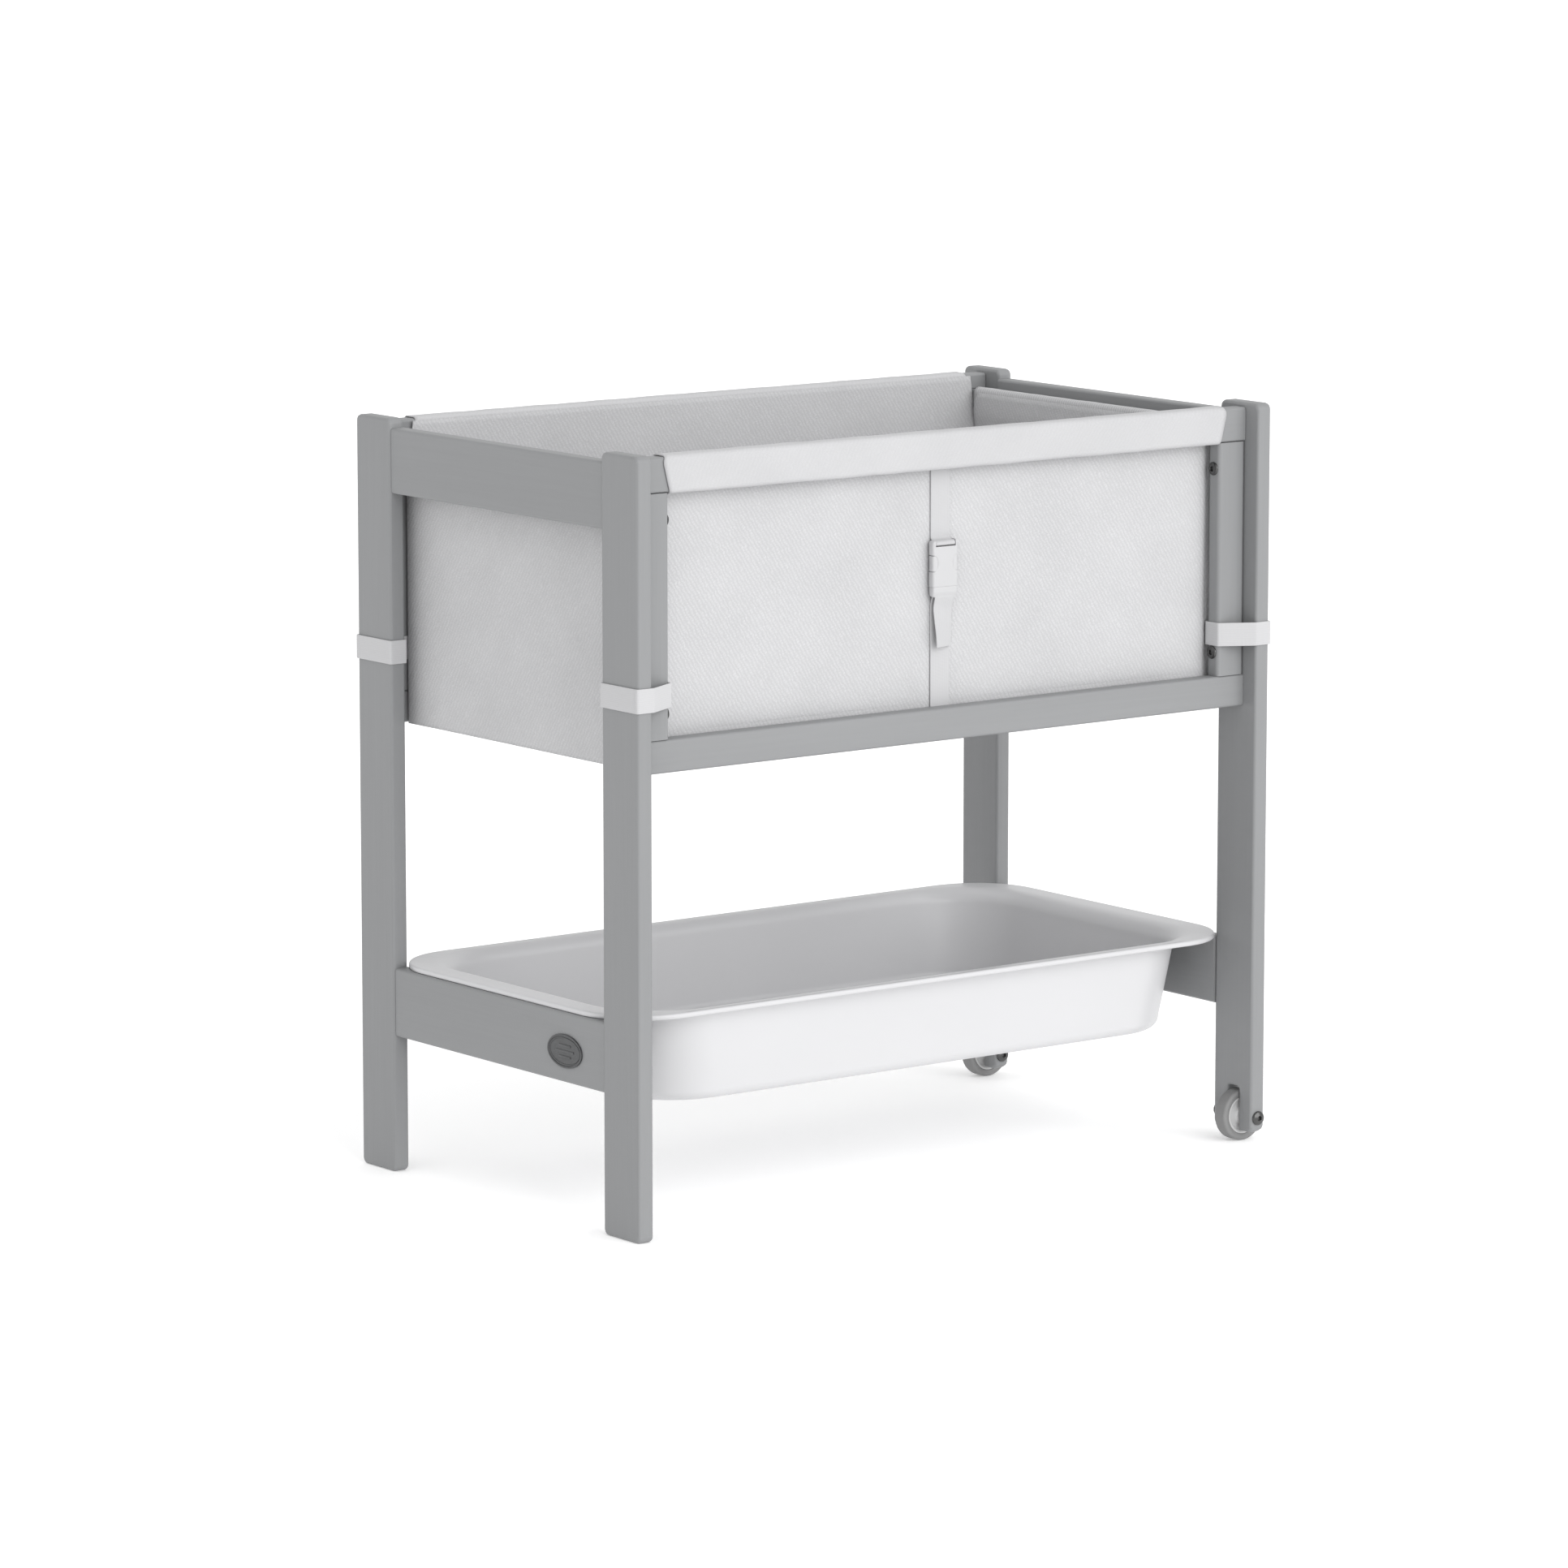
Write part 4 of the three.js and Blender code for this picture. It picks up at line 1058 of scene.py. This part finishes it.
def add_buckle_arm(end, sign, middle, half, bite_z):
    """The springy arm, with the ribbed finger pad that fills the socket's side opening."""
    low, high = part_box(f"buckle_arm_{end}")
    stations = []
    top = max(high.z, bite_z + 0.0096)
    for z in steps(low.z, top, 0.0006):
        pad = 1 - smooth(0.0080, 0.0089, abs(z - bite_z))
        outer = mix(0.0112, half - 0.00015, pad)
        rib = 0.00012 * math.cos(TAU * (z - bite_z) / 0.0021) * (pad > 0.35)
        inner = 0.0088
        taper = smooth(0.0, 0.0012, top - z)
        stations.append((z, (outer + rib) * mix(0.9, 1, taper), inner, mix(0.0019, 0.0040, pad)))
    rows = []
    for z, outer, inner, thin in stations:
        centre, wide = (outer + inner) / 2, (outer - inner) / 2
        outline = rounded_rect(wide, thin, min(wide, thin) * 0.6, 4, 2)
        rows.append([(middle.x + sign * (centre + x), middle.y + y, z) for x, y in outline])
    arm = settle(lattice(f"buckle_arm_{end}_spring", rows, caps=True))
    sharpen(arm)
    stand_for(arm, BUCKLE_PLASTIC, "buckle_plastic", f"arm_{end}", f"buckle_arm_{end}")


# ---------------------------------------------------------------- tray


def tray_ring(level, inset, z, centre_x):
    """One level ring. level runs from 0 at the rim, past 1 at the mouth, to 2 at the base."""
    first, second = ("rim", "mouth") if level < 1 else ("mouth", "base")
    t = level if level < 1 else level - 1
    x, y, corner = (mix(a, b, t) - inset for a, b in zip(TRAY[first], TRAY[second]))
    outline = rounded_rect(x, y, max(corner, TRAY["least_corner"]), 20, 14)
    return [(centre_x + px, py, z) for px, py in outline]


def tray_rings(rest, centre_x):
    wall, flare, fillet = TRAY["wall"], TRAY["flare"], TRAY["fillet"]
    bottom, top = TRAY["bottom"], rest + TRAY["lip"]
    quarter = [i / 10 * math.pi / 2 for i in range(11)]
    inside = fillet - wall
    rings = []

    def add(level, inset, z):
        rings.append(tray_ring(level, inset, z, centre_x))

    for t in (1.0, 0.4, 0.15):
        add(2, wall + inside + 0.12 * t, bottom + wall)
    for a in quarter:
        add(2, wall + inside * (1 - math.sin(a)), bottom + wall + inside * (1 - math.cos(a)))
    low, high = bottom + wall + inside, top - flare - wall
    for t in (0.1, 0.3, 0.5, 0.7, 0.9):
        add(2 - t, wall, mix(low, high, t))
    for a in quarter:
        add(1 - 0.45 * (1 - math.cos(a)), wall * math.cos(a), high + (flare + wall) * math.sin(a))
    for t in (0.42, 0.3, 0.2, 0.12):
        add(t, 0, top)
    lip_round = 0.0026
    for a in (i / 6 * math.pi / 2 for i in range(7)):
        add(0, lip_round * (1 - math.sin(a)), top - lip_round * (1 - math.cos(a)))
    add(0, 0, rest + 0.0008)
    add(0, 0.0008, rest)
    for t in (0.15, 0.35, 0.5):
        add(t, 0, rest)
    for a in reversed(quarter):
        add(1 - 0.35 * (1 - math.cos(a)), 0, rest - flare + flare * math.sin(a))
    for t in (0.1, 0.3, 0.5, 0.7, 0.9):
        add(1 + t, 0, mix(rest - flare, bottom + fillet, t))
    for a in reversed(quarter):
        add(2, fillet * (1 - math.sin(a)), bottom + fillet * (1 - math.cos(a)))
    for t in (0.15, 0.4, 1.0):
        add(2, fillet + 0.12 * t, bottom)
    return rings


def add_tray():
    low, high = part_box("tray")
    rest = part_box("low_end_rail_left")[1].z + 0.0003
    rings = tray_rings(rest, (low.x + high.x) / 2)
    tray = settle(lattice("tray_shell", rings, caps=True))
    sharpen(tray, math.radians(50))
    stand_for(tray, TRAY_PLASTIC, "tray_plastic", "storage_tray", "tray")


# ---------------------------------------------------------------- wheels, bolts and badge


def add_wheels():
    for side in ("front", "back"):
        low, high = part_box(f"tyre_{side}")
        centre = (low + high) / 2
        radius, half = (high.z - low.z) / 2, (high.y - low.y) / 2
        bore = 0.0208
        shoulder = [(radius - 0.0030 * (1 - math.cos(a)), half - 0.0030 * (1 - math.sin(a)))
                    for a in (i / 6 * math.pi / 2 for i in range(7))]
        side_face = [(bore + 0.0018, half), (bore + 0.0012, half - 0.0004), (bore, half - 0.0004)]
        upper = [(radius, 0.0), *shoulder, *side_face]
        lower = [(r, -h) for r, h in reversed(upper)]
        tyre = lathe(f"tyre_{side}_ring", [*lower, *upper], "Y", centre, 72)
        stand_for(tyre, RUBBER, "wheel_tyre", f"{side}_wheel", f"tyre_{side}")
        add_hub(side, centre)


def add_hub(side, centre):
    """The hub's disc: a boss, a dished web with a fine step, and a rounded rim."""
    low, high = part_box(f"hub_{side}")
    radius, face = (high.z - low.z) / 2, (high.y - low.y) / 2
    bore, web = 0.0043, face - 0.002
    upper = [
        (bore, face - 0.0004), (bore + 0.0004, face), (0.0080, face), (0.0090, face - 0.0006),
        (0.0100, web + 0.0004), (0.0112, web), (radius - 0.0048, web),
        (radius - 0.0036, web + 0.0003), (radius - 0.0026, face - 0.0005),
        (radius - 0.0018, face), (radius - 0.0003, face), (radius, face - 0.0003),
    ]
    lower = [(r, -h) for r, h in reversed(upper)]
    hub = lathe(f"hub_{side}_disc", [*lower, *upper], "Y", centre, 64)
    stand_for(hub, HUB_PLASTIC, "hub_plastic", f"{side}_wheel", f"hub_{side}")


def socket_head(name, centre, axis, sign, radius, height, socket, shank, shank_length):
    """A domed head with a hexagon socket, facing along +axis or -axis, on a short shank."""
    sides = 60

    def hexagon(angle):
        turn = (angle + math.pi / 6) % (math.pi / 3) - math.pi / 6
        return socket / 2 * math.cos(math.pi / 6) / math.cos(turn)

    dome = [(radius * math.cos(t), height * (0.3 + 0.7 * math.sin(t)))
            for t in (i / 8 * 1.05 for i in range(9))]
    rows = []
    for i in range(sides):
        angle = TAU * i / sides
        flat = hexagon(angle)
        edge_height = height * 0.97
        profile = [(shank, -shank_length), (shank, 0.0), (radius - 0.0003, 0.0), (radius, 0.0003)]
        profile += dome
        profile += [(flat + 0.0004, edge_height), (flat, edge_height - 0.0003),
                    (flat, height * 0.35), (0.0, height * 0.30)]
        row = []
        for r, h in [(0.0, -shank_length), *profile]:
            a, b = r * math.cos(angle), r * math.sin(angle)
            spot = (sign * h, a, b) if axis == "X" else (a, sign * h, b)
            row.append(Vector(centre) + Vector(spot))
        rows.append(row)
    thing = lattice(name, rows, wrap_rows=True, wrap_points=False)
    work = bmesh.new()
    work.from_mesh(thing.data)
    bmesh.ops.remove_doubles(work, verts=work.verts, dist=1e-6)
    bmesh.ops.recalc_face_normals(work, faces=work.faces)
    work.to_mesh(thing.data)
    work.free()
    return sharpen(thing, math.radians(32))


def add_post_bolts():
    for end, sign in (("left", 1), ("right", -1)):
        for side in ("front", "back"):
            for level in ("lower", "upper"):
                node = f"post_bolt_{side}_{end}_{level}"
                low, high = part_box(node)
                middle = (low + high) / 2
                height = POST_HEAD["height"]
                seat = high.x - height if sign > 0 else low.x + height
                bolt = socket_head(f"{node}_head", (seat, middle.y, middle.z), "X", sign,
                                   (high.z - low.z) / 2, height, POST_HEAD["socket"],
                                   POST_HEAD["shank"], high.x - low.x - height)
                stand_for(bolt, STEEL, "dark_steel", "stand", node)


def add_axles():
    for side in ("front", "back"):
        low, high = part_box(f"axle_bolt_{side}")
        middle = (low + high) / 2
        radius, height = (high.z - low.z) / 2, AXLE_HEAD["height"]
        bolt = socket_head(f"axle_bolt_{side}_head", (middle.x, low.y + height, middle.z), "Y", -1,
                           radius, height, AXLE_HEAD["socket"], AXLE_HEAD["shank"],
                           high.y - low.y - height)
        stand_for(bolt, STEEL, "dark_steel", "stand", f"axle_bolt_{side}")
        low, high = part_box(f"axle_nut_{side}")
        middle = (low + high) / 2
        seat = high.y - height
        dome = [(radius * math.cos(t), height * (0.3 + 0.7 * math.sin(t)))
                for t in (i / 10 * math.pi / 2 for i in range(10))]
        long = high.y - low.y - height
        profile = [(0.0029, -long), (0.004, -long), (0.004, 0.0), (radius - 0.0003, 0.0),
                   (radius, 0.0003), *dome, (0.0, height), (0.0, -0.008), (0.0029, -0.008)]
        nut = lathe(f"axle_nut_{side}_cap", profile, "Y", (middle.x, seat, middle.z), 48)
        stand_for(nut, STEEL, "dark_steel", "stand", f"axle_nut_{side}")


def add_badge():
    """A plain oval plate: a raised rim, a fine inner ring and a field with three raised bars."""
    low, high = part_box("badge")
    middle, size = (low + high) / 2, high - low
    thick, tall, half = size.x, size.z / size.y, size.y / 2
    field = thick - 0.0009
    profile = [(half, 0.0), (half, thick - 0.0005), (half - 0.0004, thick - 0.0001),
               (half - 0.0010, thick), (half - 0.0018, thick - 0.0001), (half - 0.0023, field),
               (half - 0.0032, field), (half - 0.0035, field + 0.0005),
               (half - 0.0042, field + 0.0005), (half - 0.0045, field),
               (half * 0.6, field + 0.0001), (half * 0.3, field + 0.0002), (0.0, field + 0.0002)]
    sides = 96
    rows = []
    for radius, height in profile:
        inset = half - radius
        row = []
        for i in range(sides):
            angle = TAU * i / sides
            z = max(0.0, half * tall - inset) * math.sin(angle)
            row.append((high.x - height, middle.y + radius * math.cos(angle), middle.z + z))
        rows.append(row)
    badge = sharpen(settle(lattice("badge_plate", rows, caps=True)), math.radians(30))
    stand_for(badge, BADGE_METAL, "badge_metal", "stand", "badge")
    for index, (level, reach) in enumerate(((0.0058, 0.0105), (0.0, 0.0160), (-0.0058, 0.0105))):
        rows = []
        for height, inset in ((field - 0.0002, 0.0), (field + 0.0005, 0.0), (field + 0.0007, 0.0004)):
            outline = rounded_rect(reach - inset, 0.0012 - inset, 0.0008, 4)
            rows.append([(high.x - height, middle.y + y, middle.z + level + z) for y, z in outline])
        bar = sharpen(settle(lattice(f"badge_bar_{index + 1}", rows, caps=True)), math.radians(30))
        stand_for(bar, BADGE_METAL, "badge_metal", "stand")


# ---------------------------------------------------------------- the scene

add_camera()
add_studio()
dress_wood()
add_front_panel()
add_liner_wall()
add_liner_floor()
add_liner_lip()
add_end_hems()
add_sleeves()
add_mattress()
add_corner_straps()
add_front_straps()
add_buckle()
add_tray()
add_wheels()
add_post_bolts()
add_axles()
add_badge()
